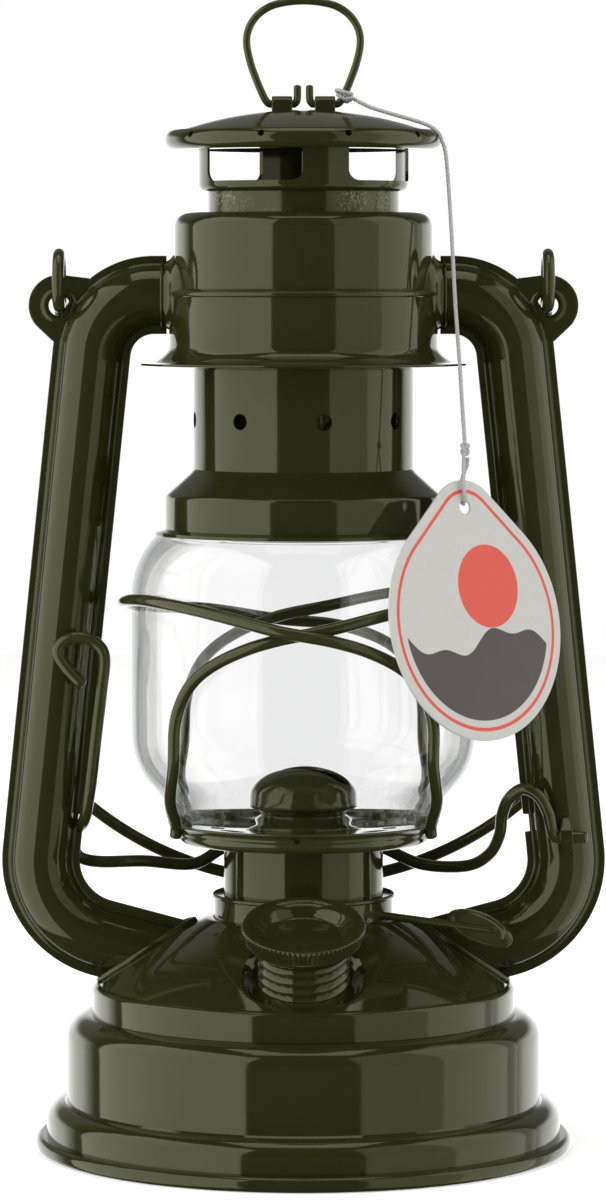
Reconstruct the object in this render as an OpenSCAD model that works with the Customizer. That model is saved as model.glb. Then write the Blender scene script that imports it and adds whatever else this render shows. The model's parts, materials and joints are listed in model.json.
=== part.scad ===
// Hurricane lantern: tank, burner, glass globe and sliding chimney, held between two pressed side tubes.
// Millimetres, +Z up, front towards -Y, origin at the middle of the rest plane.

/* [Sheet, wire and clearances] */
// Thickness of the drawn sheet metal
sheet = 0.8; // [0.6:0.1:1.1]
// Diameter of the bail, guard and lever wire
wire_d = 3; // [2.4:0.1:3.2]
// Diameter of the hood ring's wire
ring_d = 1.9; // [1.5:0.1:2.2]
// Diameter of the tag's string
string_d = 1; // [0.8:0.1:1.2]
// Clearance between pieces that move past each other
gap = 0.3; // [0.2:0.05:0.4]
// Clearance between fixed pieces that seat in each other
seat = 0.1; // [0.05:0.05:0.2]
// Running clearance round a pin
run = 0.06; // [0.03:0.01:0.1]

/* [Tank] */
// Radius of the rolled rim that the lantern stands on
base_r = 66.8; // [64:0.2:70]
// Height of that rim
rim_h = 3.8; // [3:0.1:5]
// Width of the rim's rest face and roll
rim_w = 4.2; // [3.5:0.1:6]
// Step in from the rim to the foot's wall
rim_lip = 2.8; // [2:0.1:3.4]
// Height of the foot above the rim
foot_h = 8.2; // [7:0.1:11]
// Step in from the foot to the tank wall
foot_step = 5; // [4:0.1:6]
// Height of the tank wall, up to the seam
wall_h = 21.7; // [18:0.1:32]
// Step in from the tank wall to the seam
shoulder_step = 6.4; // [6:0.1:8]
// Height of the seam ring
seam_h = 7.5; // [6:0.1:9]
// Rise of the dome from the seam to the burner
dome_h = 16.4; // [15:0.1:18]
// Bulge of the dome over a straight cone
dome_bulge = 1.6; // [0.8:0.1:2.2]

/* [Filler] */
// Distance of the filler in front of the middle between burner and seam
filler_out = 3.6; // [2.6:0.1:4.6]
// Forward tilt of the filler
filler_tilt = 20; // [16:1:24]
// Radius of the filler neck
filler_r = 10.4; // [9:0.1:11]
// Radius of the flat recess round the neck
recess_r = 14; // [13:0.1:14.6]
// Depth of that recess under the dome at the neck's axis
recess_d = 2.6; // [2:0.1:3.2]
// Height of the neck above the recess
filler_h = 10.6; // [9:0.1:13]
// Thread pitch of the neck
thread_pitch = 2.5; // [2:0.1:3]
// Thickness of the gasket
gasket_t = 1; // [0.6:0.1:1.6]
// Radius of the cap
cap_r = 15; // [14:0.1:16]
// Height of the cap's rim
cap_h = 4.4; // [3.6:0.1:6]
// Depth of the dish in the cap's top
dish_d = 3.2; // [2:0.1:3.4]

/* [Burner] */
// Turn of the burner, so that its key comes out in front of the right tube
burner_turn = 15; // [14:1:20]
// Radius of the burner collar
collar_r = 22.2; // [21:0.1:23]
// Height of the collar over the dome
collar_h = 6.1; // [5:0.1:8]
// Radius of the burner drum
drum_r = 19.8; // [18:0.1:20.5]
// Height of the drum
drum_h = 13.7; // [12:0.1:18]
// Radius of the burner cone
cone_r = 13.4; // [12.5:0.1:14.4]
// Height of the cone
cone_h = 17.5; // [16:0.1:20]
// Width of the wick
wick_w = 13; // [10:0.5:14]
// Thickness of the wick
wick_t = 2.4; // [2:0.1:2.8]
// Radius of the wick wheels
wheel_r = 3.7; // [3:0.1:4]
// Radius of the wick shaft
shaft_r = 1; // [0.8:0.1:1.2]
// Reach of the shaft to the key
shaft_l = 39; // [36:0.5:42]
// Downward slope of the shaft
shaft_dip = 5.5; // [0:0.5:7]
// Length of the key
key_l = 18; // [13:0.5:20]
// Width of the key
key_w = 8; // [6:0.2:10.4]

/* [Globe] */
// Radius of the globe plate
plate_r = 32.3; // [31.6:0.1:33.5]
// Height of the plate's rim
plate_h = 4.2; // [3.4:0.1:5]
// Number of air slots in the plate
plate_slots = 10; // [8:1:12]
// Clearance of the globe to the side tubes
globe_gap = 13.2; // [12.7:0.1:14.7]
// Height of the globe
globe_h = 74.2; // [68:0.2:84]
// Thickness of the glass
glass = 1.8; // [1.4:0.1:2.4]

/* [Chimney] */
// Radius of the bell over the globe
bell_r = 34.4; // [33.5:0.1:35]
// Height of the bell
bell_h = 10.5; // [9:0.1:12]
// Height of the shoulder over the bell
shoulder_h = 4.9; // [4:0.1:6]
// Radius of the perforated neck
neck_r = 27.3; // [26.8:0.1:28]
// Neck that shows under the air chamber
neck_show = 26.6; // [26:0.1:32]
// Neck that reaches into the air chamber
neck_in = 4; // [3:0.1:6]
// Radius of the neck's air holes
hole_r = 2; // [1.5:0.1:2.4]
// Radius of the flue
flue_r = 23.6; // [22.6:0.1:23.8]
// Flue that shows over the air chamber
flue_show = 5; // [4:0.1:7]
// Wire diameter of the chimney spring
spring_d = 1.4; // [1:0.1:1.6]
// Turns of the chimney spring
spring_turns = 5; // [4:1:7]

/* [Air chamber] */
// Radius of the drip flange
drip_r = 40.6; // [39.5:0.1:41.5]
// Radius of the lower band
band_r = 33.3; // [32.8:0.1:34]
// Step in from the lower band to the upper one
band_step = 1.3; // [0.8:0.1:1.8]
// Height of the chamber
chamber_h = 37.4; // [35:0.1:42]
// Height of the flare over the drip flange
flare_h = 4.4; // [3.5:0.1:5.4]
// Height of the bead over the chamber's floor
bead_h = 16.6; // [15:0.1:18]
// Height of the side tubes' axis over the chamber's floor
tube_up = 17.1; // [16:0.1:18.5]

/* [Hood] */
// Radius of the crown
crown_r = 25.9; // [25.4:0.1:26.6]
// Height of the crown up to the hood's rim
crown_h = 10.3; // [9:0.1:13]
// Width of each of the crown's four legs
leg_w = 11.4; // [9:0.2:15]
// Turn of the front leg to the right
leg_turn = 12.5; // [0:0.5:30]
// Radius of the hood
hood_r = 34.3; // [33:0.1:36]
// Height of the hood
hood_h = 9.9; // [9:0.1:12]
// Number of air holes in the hood's rim
rim_holes = 10; // [6:1:12]
// Length of each knuckle
knuckle_l = 5.1; // [4.5:0.1:5.1]

/* [Side tubes] */
// Width of the lantern across the side tubes
span = 150; // [148:0.5:156]
// Radius of the tubes
tube_r = 7.4; // [7:0.1:7.8]
// Half width of a tube across its seam flanges
flange_w = 9.65; // [9.4:0.05:9.8]
// Thickness of the tubes' sheet
tube_sheet = 0.6; // [0.5:0.05:0.8]
// Bend radius at the air chamber
bend_top = 15.5; // [14.5:0.1:16.5]
// Bend radius at the tank
bend_low = 20.4; // [19:0.1:21]
// Downward slope of the tubes into the dome
entry_slope = 15; // [13:1:17]
// Height of the lower bend's centre over the dome
entry_up = 14.3; // [13.5:0.1:16]
// Radius of the bail ears
ear_r = 7.6; // [7:0.1:8.2]
// Radius of the hole in each ear
ear_hole_r = 2.6; // [2.3:0.1:3]

/* [Bail and hang tag] */
// Radius of the hook at each end of the bail
eye_r = 6.5; // [6:0.1:7]
// Drop of the bail under its ears
bail_drop = 154; // [150:0.5:156]
// Radius of the bail's hand bow
bow_r = 84; // [80:1:100]
// Radius of the bail's corners
corner_r = 14; // [8:0.5:20]
// Radius of the hang tag's disc
tag_r = 28.9; // [22:0.1:29]
// Radius of the hang tag's tip
tag_tip_r = 12; // [8:0.1:13]
// Height of the hang tag
tag_h = 63.8; // [54:0.2:68]
// Thickness of the hang tag
tag_t = 0.6; // [0.4:0.1:1]

/* [Hidden] */
$fn = 64;
enamel = "#4a4b32";
dark_wire = "#3b3c28";

// Radii that follow from the steps
rim_round = 1.5;
foot_r = base_r - rim_lip;
wall_r = foot_r - foot_step;
seam_r = wall_r - shoulder_step;
seam_round = 1.2;
foot_round = foot_step - 0.5;
shoulder_round = shoulder_step - 0.8;
throat_r = seam_r - sheet - seat;
filler_y = (seam_r + collar_r) / 2 + filler_out;
globe_r = span / 2 - 2 * flange_w - globe_gap;
mouth_r = bell_r + 1.95;
dome_top_r = collar_r + 2;
upper_r = band_r - band_step;
hole_gap = 2 * gap;
plate_hole_r = cone_r + hole_gap;
plug_r = filler_r - sheet - gap;
flange_r = bell_r + 2.6;
spring_r = neck_r - sheet / 2;

// Heights, stacked from the rest plane
z_crease = rim_h + foot_h;
z_seam = z_crease + wall_h;
z_dome = z_seam + seam_h;
z_top = z_dome + dome_h;
z_deck = z_dome - 2.6;
z_collar = z_top + collar_h;
z_drum = z_collar + drum_h;
z_plate = z_drum + gap;
z_globe = z_plate + sheet;
z_mouth = z_globe + globe_h;
z_bell = z_mouth + gap;
z_shoulder = z_bell + bell_h;
z_neck = z_shoulder + shoulder_h;
z_chamber = z_neck + neck_show;
z_neck_top = z_chamber + neck_in;
z_lid = z_chamber + chamber_h;
z_crown = z_lid + flue_show;
z_hood = z_crown + crown_h;
z_peak = z_hood + hood_h;
z_hinge = z_peak + ring_d / 2 + 0.5;
z_shaft = z_top + shaft_r + gap + dome_top_r * tan(shaft_dip);
z_tube = z_chamber + tube_up;

// Side tube path in the X-Z plane: top bend centre, lower bend centre, lean of the straight run
bend_u = [band_r + 3.65, z_tube - bend_top];
bend_l = [span / 2 - flange_w - bend_low, z_top + entry_up];
bend_gap = bend_u - bend_l;
lean = atan2(-bend_gap.x, bend_gap.y) + asin((bend_low - bend_top) / norm(bend_gap));
run_l = sqrt(norm(bend_gap) * norm(bend_gap) - (bend_low - bend_top) * (bend_low - bend_top));
stub_x = band_r + 0.5;
entry_l = 30;
lap = 0.06;
step = 0.02;
socket_r = flange_w + seat;
ear_c = bend_u + span * [0.156, 0.086];
ear_top = bend_u + (bend_top + flange_w) * [cos(50), sin(50)];
ear_low = bend_u + (bend_top + flange_w) * [cos(7), sin(7)];
eye_z = ear_c.y + eye_r - 0.4;

// Lever pivots: the notch in the left tube's flange and the strap on the right tube's front
notch_r = wire_d / 2 + 0.7;
pivot_z = bend_l.y + 8.5;
tube_x = bend_l.x + bend_low * cos(lean) - (pivot_z - bend_l.y - bend_low * sin(lean)) * tan(lean);
pivot_left = [flange_w - 0.3 - tube_x, 0, pivot_z];
lever_k = span / 150;
guard_k = globe_h / 74.2;
pivot_right = [bend_l.x + bend_low - 0.5, -tube_r - gap - wire_d / 2, pivot_z - 1.9];
pivot_dir = (pivot_right - pivot_left) / norm(pivot_right - pivot_left);
pin_back = 2.6;
pin_out = 5.4;
strap_w = 2.5;
strap_h = 9.7;

// Filler frame and dome surface
dome_p = [seam_r - seam_round - 0.6, z_dome];
dome_q = [dome_top_r, z_top];
filler_z = dome_z(filler_y) - recess_d;
neck_depth = 8.5;
cap_z = filler_h + gasket_t + seat;
thread_turns = 4;
ridge_r = 0.55;

// Bail in its own plane, hanging down
bail_tilt = 6.7;
corner_c = sqrt((bow_r - corner_r) * (bow_r - corner_r) - (ear_c.x - corner_r) * (ear_c.x - corner_r));
corner_a = atan2(corner_c, ear_c.x - corner_r);
bow_z = bail_drop - bow_r;
leg_l = bow_z + corner_c;

// Burner inside
tube_wall = 0.6;
slot_w = wick_w + 2 * gap;
slot_t = wick_t + 2 * gap;
shaft_y = wick_t / 2 + gap + wheel_r;
wheel_x = [-4, 0, 4];
wheel_w = 1.2;
wheel_teeth = 14;

// Guard wire from its front foot to its far tip: angle from its foot side, radius, height over the plate
guard_in = globe_r + wire_d / 2 + gap;
guard_step = wire_d + gap + seat;
guard_drop = 4.5;
guard_path = [
    [21, plate_r + wire_d / 2 + seat, 0.6], [22, plate_r + wire_d / 2 + seat, 4],
    [30, guard_in - 5.3, 11], [41.5, guard_in - 0.2, 21], [44.5, guard_in, 31],
    [50.5, guard_in + 0.1, 39], [58.5, guard_in + 0.2, 44.5], [70, guard_in + 0.2, 49],
    [82, guard_in + 0.2, 52], [98, guard_in + 0.2, 54.5], [122, guard_in + 0.2, 58.5],
    [150, guard_in + 0.4, 60.2], [180, guard_in + 0.6, 60.6]
];

// Lever wire from the thumb loop to the pivot pin, hung on the two pivots and the plate
rear_y = drum_r + 4.8;
rear_z = z_plate - gap - wire_d / 2;
lever_path = concat(
    [for (p = [
        [1.1, -10, 35.6], [-3.2, -10, 40.3], [-5.2, -10, 44], [-3.6, -10, 46.6], [0.2, -10, 47.6],
        [4.1, -10, 46.2], [6.2, -10, 42.6], [6.1, -10, 34], [5.5, -10, 24], [4.6, -9.6, 14.4],
        [3.4, -7.6, 7.4], [1.8, -4.2, 2.2], [0, 0, 0], [-0.3, 3.6, -1.7], [-0.4, 5.2, -5],
        [1.2, 5.6, -8.4], [5.4, 6.8, -9.8], [15.2, 10.6, -10.2]
    ]) pivot_left + lever_k * p],
    [for (x = [-28, -20.5, -13, -7, 0, 7, 13, 20.5, 30])
        [x, rear_y - 0.0095 * x * x, rear_z - min(7.2, max(0, 0.0098 * (x * x - 45)))]],
    [for (p = [
        [-24, 15.4, -9], [-18.6, 10, -5.4], [-16.2, 6.4, -0.2], [-15.6, 4, 5.2],
        [-14, 1.6, 9.4], [-10.6, -0.2, 12], [-6.8, -1, 10.2], [-4.5, -1, 6], [-3.7, -0.6, 2.6]
    ]) pivot_right + lever_k * p],
    [pivot_right - pin_back * pivot_dir]
);

// Hood ring from its inner end to the top, in X and height over the hinge
ring_path = [
    [1.5, 4.7], [1.5, 2.2], [1.6, 0.9], [2.1, 0.15], [2.7, 0], [5.3, 0], [8, 0], [8.6, 0.15], [9.3, 0.9],
    [10, 2.2], [11.4, 5.4], [13.1, 10.2], [14, 15], [13.4, 18.6], [11.3, 21.8], [8, 24], [4, 25], [0, 25.3]
];

// String from the ring's knot over the hood's rim to the tag's knot, then its loop through the tag
knot_p = [10, 0, z_hinge + 2.2];
knot_r = 1;
string_path = [
    [13.1, -0.6, 259.9], [16.6, -1.9, 258.2], [21.8, -4.2, 256.5], [26.8, -6.3, 255], [30.6, -7.8, 253.6],
    [32.9, -8.8, 251.9], [33.9, -9.4, 249.8], [34.8, -10.3, 246.6], [35.5, -12.4, 238], [36.2, -14.6, 226],
    [37, -17, 210], [38, -18.9, 196], [38.6, -20.3, 186], [39.2, -21.6, 176.8]
];
tag_hole = [39, -23.2, 160.7];
tag_turn = [-10, 1.1, 42.8];
tag_hole_r = 1.7;
tag_hole_d = 6.6;
tag_knot_p = [39.3, -21.9, 174.8];
tag_knot_r = 1.4;
loop_path = [
    [0.1, -1.7, 11.9], [-0.3, -1.6, 9], [-0.7, -1.4, 5.5], [-0.4, -1.2, 2.1], [0, 0, 0.8],
    [0.4, 1.2, 2.1], [1.1, 1.2, 5.2], [1.6, 0.9, 7.6], [1.8, -0.5, 9.8], [1.6, -1.6, 11.9]
];

// Points along an arc, from angle a to angle b
function arc(c, r, a, b, n = 5) = [for (i = [0:n]) let (t = a + (b - a) * i / n) c + r * [cos(t), sin(t)]];

// The same list, last point first
function back(list) = [for (i = [len(list) - 1:-1:0]) list[i]];

// Centre and radius of the arc from p to q that bulges by s to the right of the way
function bulge_r(p, q, s) = (norm(q - p) * norm(q - p) / 4 + s * s) / (2 * s);
function bulge_c(p, q, s) =
    let (d = (q - p) / norm(q - p)) (p + q) / 2 - (bulge_r(p, q, s) - s) * [d.y, -d.x];

// Points of that arc, moved in by t
function bulge(p, q, s, t = 0, n = 7) =
    let (c = bulge_c(p, q, s), a = atan2(p.y - c.y, p.x - c.x), b = atan2(q.y - c.y, q.x - c.x))
    arc(c, bulge_r(p, q, s) - t, a, b, n);

// Height of the dome's surface at radius r
function dome_z(r) =
    let (c = bulge_c(dome_p, dome_q, dome_bulge), k = bulge_r(dome_p, dome_q, dome_bulge))
    c.y + sqrt(k * k - (r - c.x) * (r - c.x));

// Smooth curve through points, n steps between each two
function smooth(p, n) = concat(
    [for (i = [0:len(p) - 2], k = [0:n - 1])
        let (a = p[max(i - 1, 0)], b = p[i], c = p[i + 1], d = p[min(i + 2, len(p) - 1)], t = k / n)
        b + t * (c - a) / 2 + t * t * (a - 2.5 * b + 2 * c - d / 2)
            + t * t * t * (1.5 * (b - c) + (d - a) / 2)],
    [p[len(p) - 1]]
);

function unit(v) = v / norm(v);
function heading(p, i) = unit(p[min(i + 1, len(p) - 1)] - p[max(i - 1, 0)]);
function across(t) = unit(cross(t, abs(t.z) < 0.8 ? [0, 0, 1] : [1, 0, 0]));

// Side direction at each point, carried along the path without twist
function sides_along(p) = [
    for (i = 0, u = across(heading(p, 0));
        i < len(p);
        i = i + 1, u = i < len(p) ? unit(u - (u * heading(p, i)) * heading(p, i)) : u) u
];

// Round tube along a list of points
module tube_along(p, d, n = 8) {
    u = sides_along(p);
    rings = [for (i = [0:len(p) - 1], j = [0:n - 1])
        p[i] + d / 2 * (cos(360 * j / n) * u[i] + sin(360 * j / n) * cross(heading(p, i), u[i]))];
    last = (len(p) - 1) * n;
    walls = [for (i = [0:len(p) - 2], j = [0:n - 1], k = [0, 1])
        let (a = i * n + j, b = i * n + (j + 1) % n)
        k == 0 ? [a, a + n, b + n] : [a, b + n, b]];
    ends = [for (j = [1:n - 2], k = [0, 1]) k == 0 ? [0, j, j + 1] : [last, last + j + 1, last + j]];
    polyhedron(points = rings, faces = concat(walls, ends));
}

// Sheet form turned round the axis from its outer and inner curves
module turned(outer, inner) {
    rotate_extrude() polygon(concat(outer, back(inner)));
}

module at_filler() {
    translate([0, -filler_y, filler_z]) rotate([filler_tilt, 0, 0]) children();
}

module at_burner() {
    rotate([0, 0, -burner_turn]) children();
}

// Frame of the wick shaft, its X axis along the shaft
module along_shaft() {
    at_burner() translate([0, -shaft_y, z_shaft]) rotate([0, shaft_dip, 0]) children();
}

// Rectangle with round ends, along X
module slot_shape(l, w) {
    square([l - w, w], center = true);
    for (s = [-1, 1]) translate([s * (l - w) / 2, 0]) circle(d = w);
}

// Rectangle with round corners, standing on the X axis
module window_shape(w, h, r) {
    translate([-w / 2, r]) square([w, h - r]);
    translate([-w / 2 + r, 0]) square([w - 2 * r, h]);
    for (s = [-1, 1]) translate([s * (w / 2 - r), r]) circle(r);
}

module tank_bottom() {
    rim_in = base_r - rim_w;
    color(enamel) rotate_extrude() polygon(concat(
        [[0, rim_h - sheet], [rim_in, rim_h - sheet], [rim_in, 0]],
        arc([base_r - rim_round, rim_round], rim_round, -90, 0),
        arc([base_r - rim_round, rim_h - rim_round], rim_round, 0, 90),
        [[0, rim_h]]
    ));
}

function body_curve(t) = concat(
    [[foot_r - t, rim_h]],
    arc([foot_r - foot_round, z_crease - foot_round], foot_round - t, 0, 90),
    [[wall_r - t, z_crease + 0.5]],
    arc([wall_r - shoulder_round, z_seam - shoulder_round], shoulder_round - t, 0, 90),
    [[throat_r - t, z_seam - t], [throat_r - t, z_deck]]
);

module tank_body() {
    color(enamel) turned(body_curve(0), body_curve(sheet));
}

module tank_deck() {
    color(enamel) difference() {
        translate([0, 0, z_deck]) cylinder(r = throat_r, h = sheet);
        at_filler() cylinder(r = filler_r + seat, h = 60, center = true);
        at_burner() wick_tube_block(seat);
    }
}

// Outside of the seam ring and dome, moved in by t, with its open end lowered by d
module dome_solid(t, d = 0) {
    curve = concat(
        [[seam_r - t, z_seam + seat - d]],
        arc([seam_r - seam_round, z_dome - seam_round], seam_round - t, 0, 90),
        [[seam_r - seam_round - 0.3, z_dome - 0.5 - t]],
        bulge(dome_p, dome_q, dome_bulge, t)
    );
    rotate_extrude() polygon(concat(
        [[0, z_seam + seat - d]], curve, [[0, curve[len(curve) - 1].y]]
    ));
}

// Outline of a side tube with its flanges, grown by t
module entry_shape(t) {
    circle(tube_r + t);
    square([2 * (flange_w + t), 2 * (tube_sheet + t)], center = true);
}

// Straight ends of both side tubes, grown by t
module tube_entries(t) {
    for (m = [0, 1]) mirror([m, 0, 0]) tube_frame() entry_run() entry_shape(t);
}

module tank_top() {
    color(enamel) difference() {
        dome_solid(0);
        difference() {
            dome_solid(sheet, 1);
            at_filler() translate([0, 0, -sheet]) cylinder(r = recess_r + sheet, h = 30);
        }
        at_filler() cylinder(r = recess_r, h = 30);
        at_filler() cylinder(r = filler_r + seat, h = 40, center = true);
        tube_entries(seat);
        translate([0, 0, z_dome]) cylinder(r = collar_r + gap, h = 2 * dome_h);
    }
}

module filler_neck() {
    ridges = [for (i = [0:thread_turns - 1])
        each arc([filler_r, ridge_r + 0.6 + i * thread_pitch], ridge_r, -90, 90, 6)];
    outer = concat([[filler_r, -neck_depth]], ridges, [[filler_r, filler_h]]);
    inner = [[filler_r - sheet, -neck_depth], [filler_r - sheet, filler_h]];
    color(enamel) at_filler() turned(outer, inner);
}

module filler_gasket() {
    color("#1c1c1a") at_filler() translate([0, 0, filler_h + seat / 2]) difference() {
        cylinder(r = filler_r + 1.8, h = gasket_t);
        translate([0, 0, -1]) cylinder(r = plug_r + gap, h = gasket_t + 2);
    }
}

module filler_cap() {
    top = cap_z + cap_h;
    dish_r = cap_r - 2.6;
    edge = 1.1;
    plug_l = 4.6;
    color(enamel) at_filler() rotate_extrude() polygon(concat(
        [[0, top - dish_d], [dish_r - 2.4, top - dish_d + 0.3], [dish_r, top - 0.5]],
        arc([cap_r - edge, top - edge], edge, 90, 0),
        arc([cap_r - edge, cap_z + edge], edge, 0, -90),
        [[plug_r, cap_z], [plug_r, cap_z - plug_l], [plug_r - sheet, cap_z - plug_l]],
        [[plug_r - sheet, top - dish_d - sheet], [0, top - dish_d - sheet]]
    ));
}

module burner_collar() {
    floor_z = z_top - 2.6;
    bead = 0.6;
    color(enamel) difference() {
        rotate_extrude() polygon(concat(
            [[0, floor_z], [collar_r, floor_z], [collar_r, z_collar - 2 * bead]],
            arc([collar_r, z_collar - bead], bead, -90, 90, 6),
            [[drum_r - 1.6, z_collar], [drum_r - 1.6, z_collar - sheet], [collar_r - sheet, z_collar - sheet]],
            [[collar_r - sheet, floor_z + sheet], [0, floor_z + sheet]]
        ));
        at_burner() wick_tube_block(seat);
        along_shaft() rotate([0, 90, 0]) cylinder(r = shaft_r + run, h = 40);
    }
}

module burner_drum() {
    color(enamel) turned(
        [[drum_r, z_collar], [drum_r, z_drum - 1], [drum_r - 1, z_drum], [cone_r - 1.6, z_drum]],
        [[drum_r - sheet, z_collar], [drum_r - sheet, z_drum - sheet], [cone_r - 1.6, z_drum - sheet]]
    );
}

function cone_curve(t) = concat(
    [[cone_r - t, z_drum], [cone_r - t, z_drum + 3.2], [cone_r - 3.2 - t, z_drum + 5.2]],
    [[cone_r - 0.4 - t, z_drum + 8.3]],
    [for (a = [0:10:90]) [(cone_r - t) * cos(a), z_drum + 9.3 + (cone_h - 9.3 - t) * sin(a)]]
);

module burner_cone() {
    color(enamel) difference() {
        turned(cone_curve(0), cone_curve(sheet));
        at_burner() translate([0, 0, z_drum + 10]) linear_extrude(cone_h) slot_shape(slot_w + 3, slot_t + 1.4);
    }
}

// Outside of the wick tube, grown by t
module wick_tube_block(t) {
    low = z_deck - 6;
    translate([-slot_w / 2 - tube_wall - t, -slot_t / 2 - tube_wall - t, low])
        cube([slot_w + 2 * tube_wall + 2 * t, slot_t + 2 * tube_wall + 2 * t, z_drum + 9 - low]);
}

module wick_tube() {
    reach = wheel_r + 2 * gap + wheel_x[2] * sin(shaft_dip);
    slack = gap + wheel_r * sin(shaft_dip);
    color("#8a7440") at_burner() difference() {
        wick_tube_block(0);
        translate([-slot_w / 2, -slot_t / 2, 0]) cube([slot_w, slot_t, 200]);
        for (x = wheel_x) translate([x - wheel_w / 2 - slack, -shaft_y, z_shaft - reach])
            cube([wheel_w + 2 * slack, shaft_y, 2 * reach]);
    }
}

module wick() {
    color("#d9d2c0") at_burner() translate([-wick_w / 2, -wick_t / 2, rim_h + 11])
        cube([wick_w, wick_t, z_drum + 13 - rim_h - 11]);
}

module wick_shaft() {
    points = [for (i = [0:2 * wheel_teeth - 1])
        (i % 2 == 0 ? wheel_r : wheel_r - 0.8) * [cos(180 * i / wheel_teeth), sin(180 * i / wheel_teeth)]];
    plate_t = 1.6;
    dish = 0.5;
    color(dark_wire) along_shaft() {
        rotate([0, 90, 0]) translate([0, 0, -6]) cylinder(r = shaft_r, h = shaft_l + 6 + 0.7 * key_l);
        for (x = wheel_x) translate([x - wheel_w / 2, 0, 0]) rotate([90, 0, 90])
            linear_extrude(wheel_w) polygon(points);
        translate([shaft_l + key_l / 2 - 1.5, 0, 0]) rotate([60, 0, 0]) rotate([0, 0, -17]) difference() {
            translate([0, 0, -plate_t / 2]) linear_extrude(plate_t) slot_shape(key_l, key_w);
            for (s = [-1, 1]) translate([0.6, 0, s * plate_t / 2 - dish]) linear_extrude(2 * dish)
                slot_shape(key_l - 3.6, key_w - 2.4);
        }
    }
}

module globe_plate() {
    turn = 1;
    rim = z_plate + plate_h;
    ring = (plate_hole_r + sheet + plate_r - sheet) / 2;
    lip_h = 2.4;
    color(enamel) difference() {
        rotate_extrude() polygon(concat(
            [[plate_hole_r, z_plate]],
            arc([plate_r - turn, z_plate + turn], turn, -90, 0),
            [[plate_r, rim - 0.4], [plate_r - 0.4, rim], [plate_r - sheet, rim]],
            [[plate_r - sheet, z_plate + sheet]],
            [[plate_hole_r + sheet, z_plate + sheet], [plate_hole_r + sheet, z_plate + lip_h]],
            [[plate_hole_r, z_plate + lip_h]]
        ));
        for (i = [0:plate_slots - 1]) rotate([0, 0, 360 * (i + 0.5) / plate_slots - 90])
            translate([ring, 0, z_plate - 1]) rotate([0, 0, 90]) linear_extrude(3) slot_shape(9, 3.4);
        translate([0, -plate_r + 2, z_plate + plate_h / 2]) rotate([90, 0, 0]) cylinder(r = 0.9, h = 4);
    }
}

// Outside of the glass, moved in by t: foot, slanted lower shoulder, barrel and upper shoulder
function globe_curve(t) =
    let (foot = plate_r - sheet - 2 * gap - t, low = 18, high = 21,
        end = acos(min(0.95, (mouth_r + high - globe_r) / high)),
        a = [globe_r - low, z_globe + 24.5], b = [globe_r - high, z_mouth - high * sin(end)])
    concat(
        [[foot, z_globe], [foot, z_globe + 4.2]],
        arc(a, low - t, -47, 0, 12),
        arc(b, high - t, 0, end, 12)
    );

module globe() {
    color("#dfe6e4", 0.4) turned(globe_curve(0), globe_curve(glass));
}

// Guard wire with both feet on the right and its tip on the left, stepped out by s where the two cross,
// its rear run lower by d
module guard_wire(s, d) {
    front = [for (g = guard_path)
        let (r = g[1] + (g[0] > 45 && g[0] < 135 ? s * pow(sin(g[0]), 6) : 0))
        [r * cos(g[0]), -r * sin(g[0]), z_plate + guard_k * g[2] - (g[0] == 180 ? d / 2 : 0)]];
    rear = [for (i = [len(guard_path) - 2:-1:0])
        let (g = guard_path[i], r = g[1] + (g[0] > 45 && g[0] < 135 ? s * pow(sin(g[0] - 12), 4) : 0))
        [r * cos(g[0]), r * sin(g[0]), z_plate + guard_k * g[2] - d * min(1, max(0, (g[0] - 58) / 50))]];
    color(dark_wire) tube_along(smooth(concat(front, rear), 3), wire_d);
}

module guard_right_foot() {
    guard_wire(guard_step, guard_drop);
}

module guard_left_foot() {
    mirror([1, 0, 0]) guard_wire(0, 0);
}

module along_pivot() {
    translate(pivot_right) rotate([0, acos(pivot_dir.z), atan2(pivot_dir.y, pivot_dir.x)]) children();
}

module lift_lever() {
    color(dark_wire) {
        tube_along(smooth(lever_path, 2), wire_d);
        along_pivot() translate([0, 0, -pin_back - 0.4]) cylinder(d = wire_d, h = pin_back + pin_out + 0.4);
    }
}

module lever_strap() {
    foot = -tube_r - seat;
    crown = pivot_right.y - wire_d / 2 - run - sheet;
    color(enamel) difference() {
        translate([pivot_right.x - strap_w / 2, 0, pivot_right.z]) rotate([90, 0, 90])
            linear_extrude(strap_w) polygon([
            [foot, strap_h / 2], [foot - sheet, strap_h / 2], [crown, 1.4],
            [crown, -1.4], [foot - sheet, -strap_h / 2], [foot, -strap_h / 2]
        ]);
        along_pivot() cylinder(d = wire_d + 2 * run, h = 20, center = true);
    }
}

// X-Z plane of the side tubes laid flat, with its third axis towards the front
module tube_frame() {
    rotate([90, 0, 0]) children();
}

module entry_run() {
    translate(bend_l) rotate([0, 0, entry_slope - 90]) translate([0, lap]) rotate([90, 0, 0])
        linear_extrude(entry_l) translate([bend_low, 0]) children();
}

// Section carried along the straight parts of the tube: stub at the chamber, long run, run into the dome
module tube_runs() {
    translate([stub_x, bend_u.y]) rotate([0, 0, 90]) rotate([90, 0, 0])
        linear_extrude(bend_u.x - stub_x + lap) translate([bend_top, 0]) children();
    translate(bend_u) rotate([0, 0, lean]) translate([0, lap]) rotate([90, 0, 0])
        linear_extrude(run_l + 2 * lap) translate([bend_top, 0]) children();
    entry_run() children();
}

// Section carried round the two bends
module tube_bends() {
    translate(bend_u) rotate([0, 0, lean])
        rotate_extrude(angle = 90 - lean) translate([bend_top, 0]) children();
    translate(bend_l) rotate([0, 0, entry_slope - 90])
        rotate_extrude(angle = 90 - entry_slope + lean) translate([bend_low, 0]) children();
}

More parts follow.
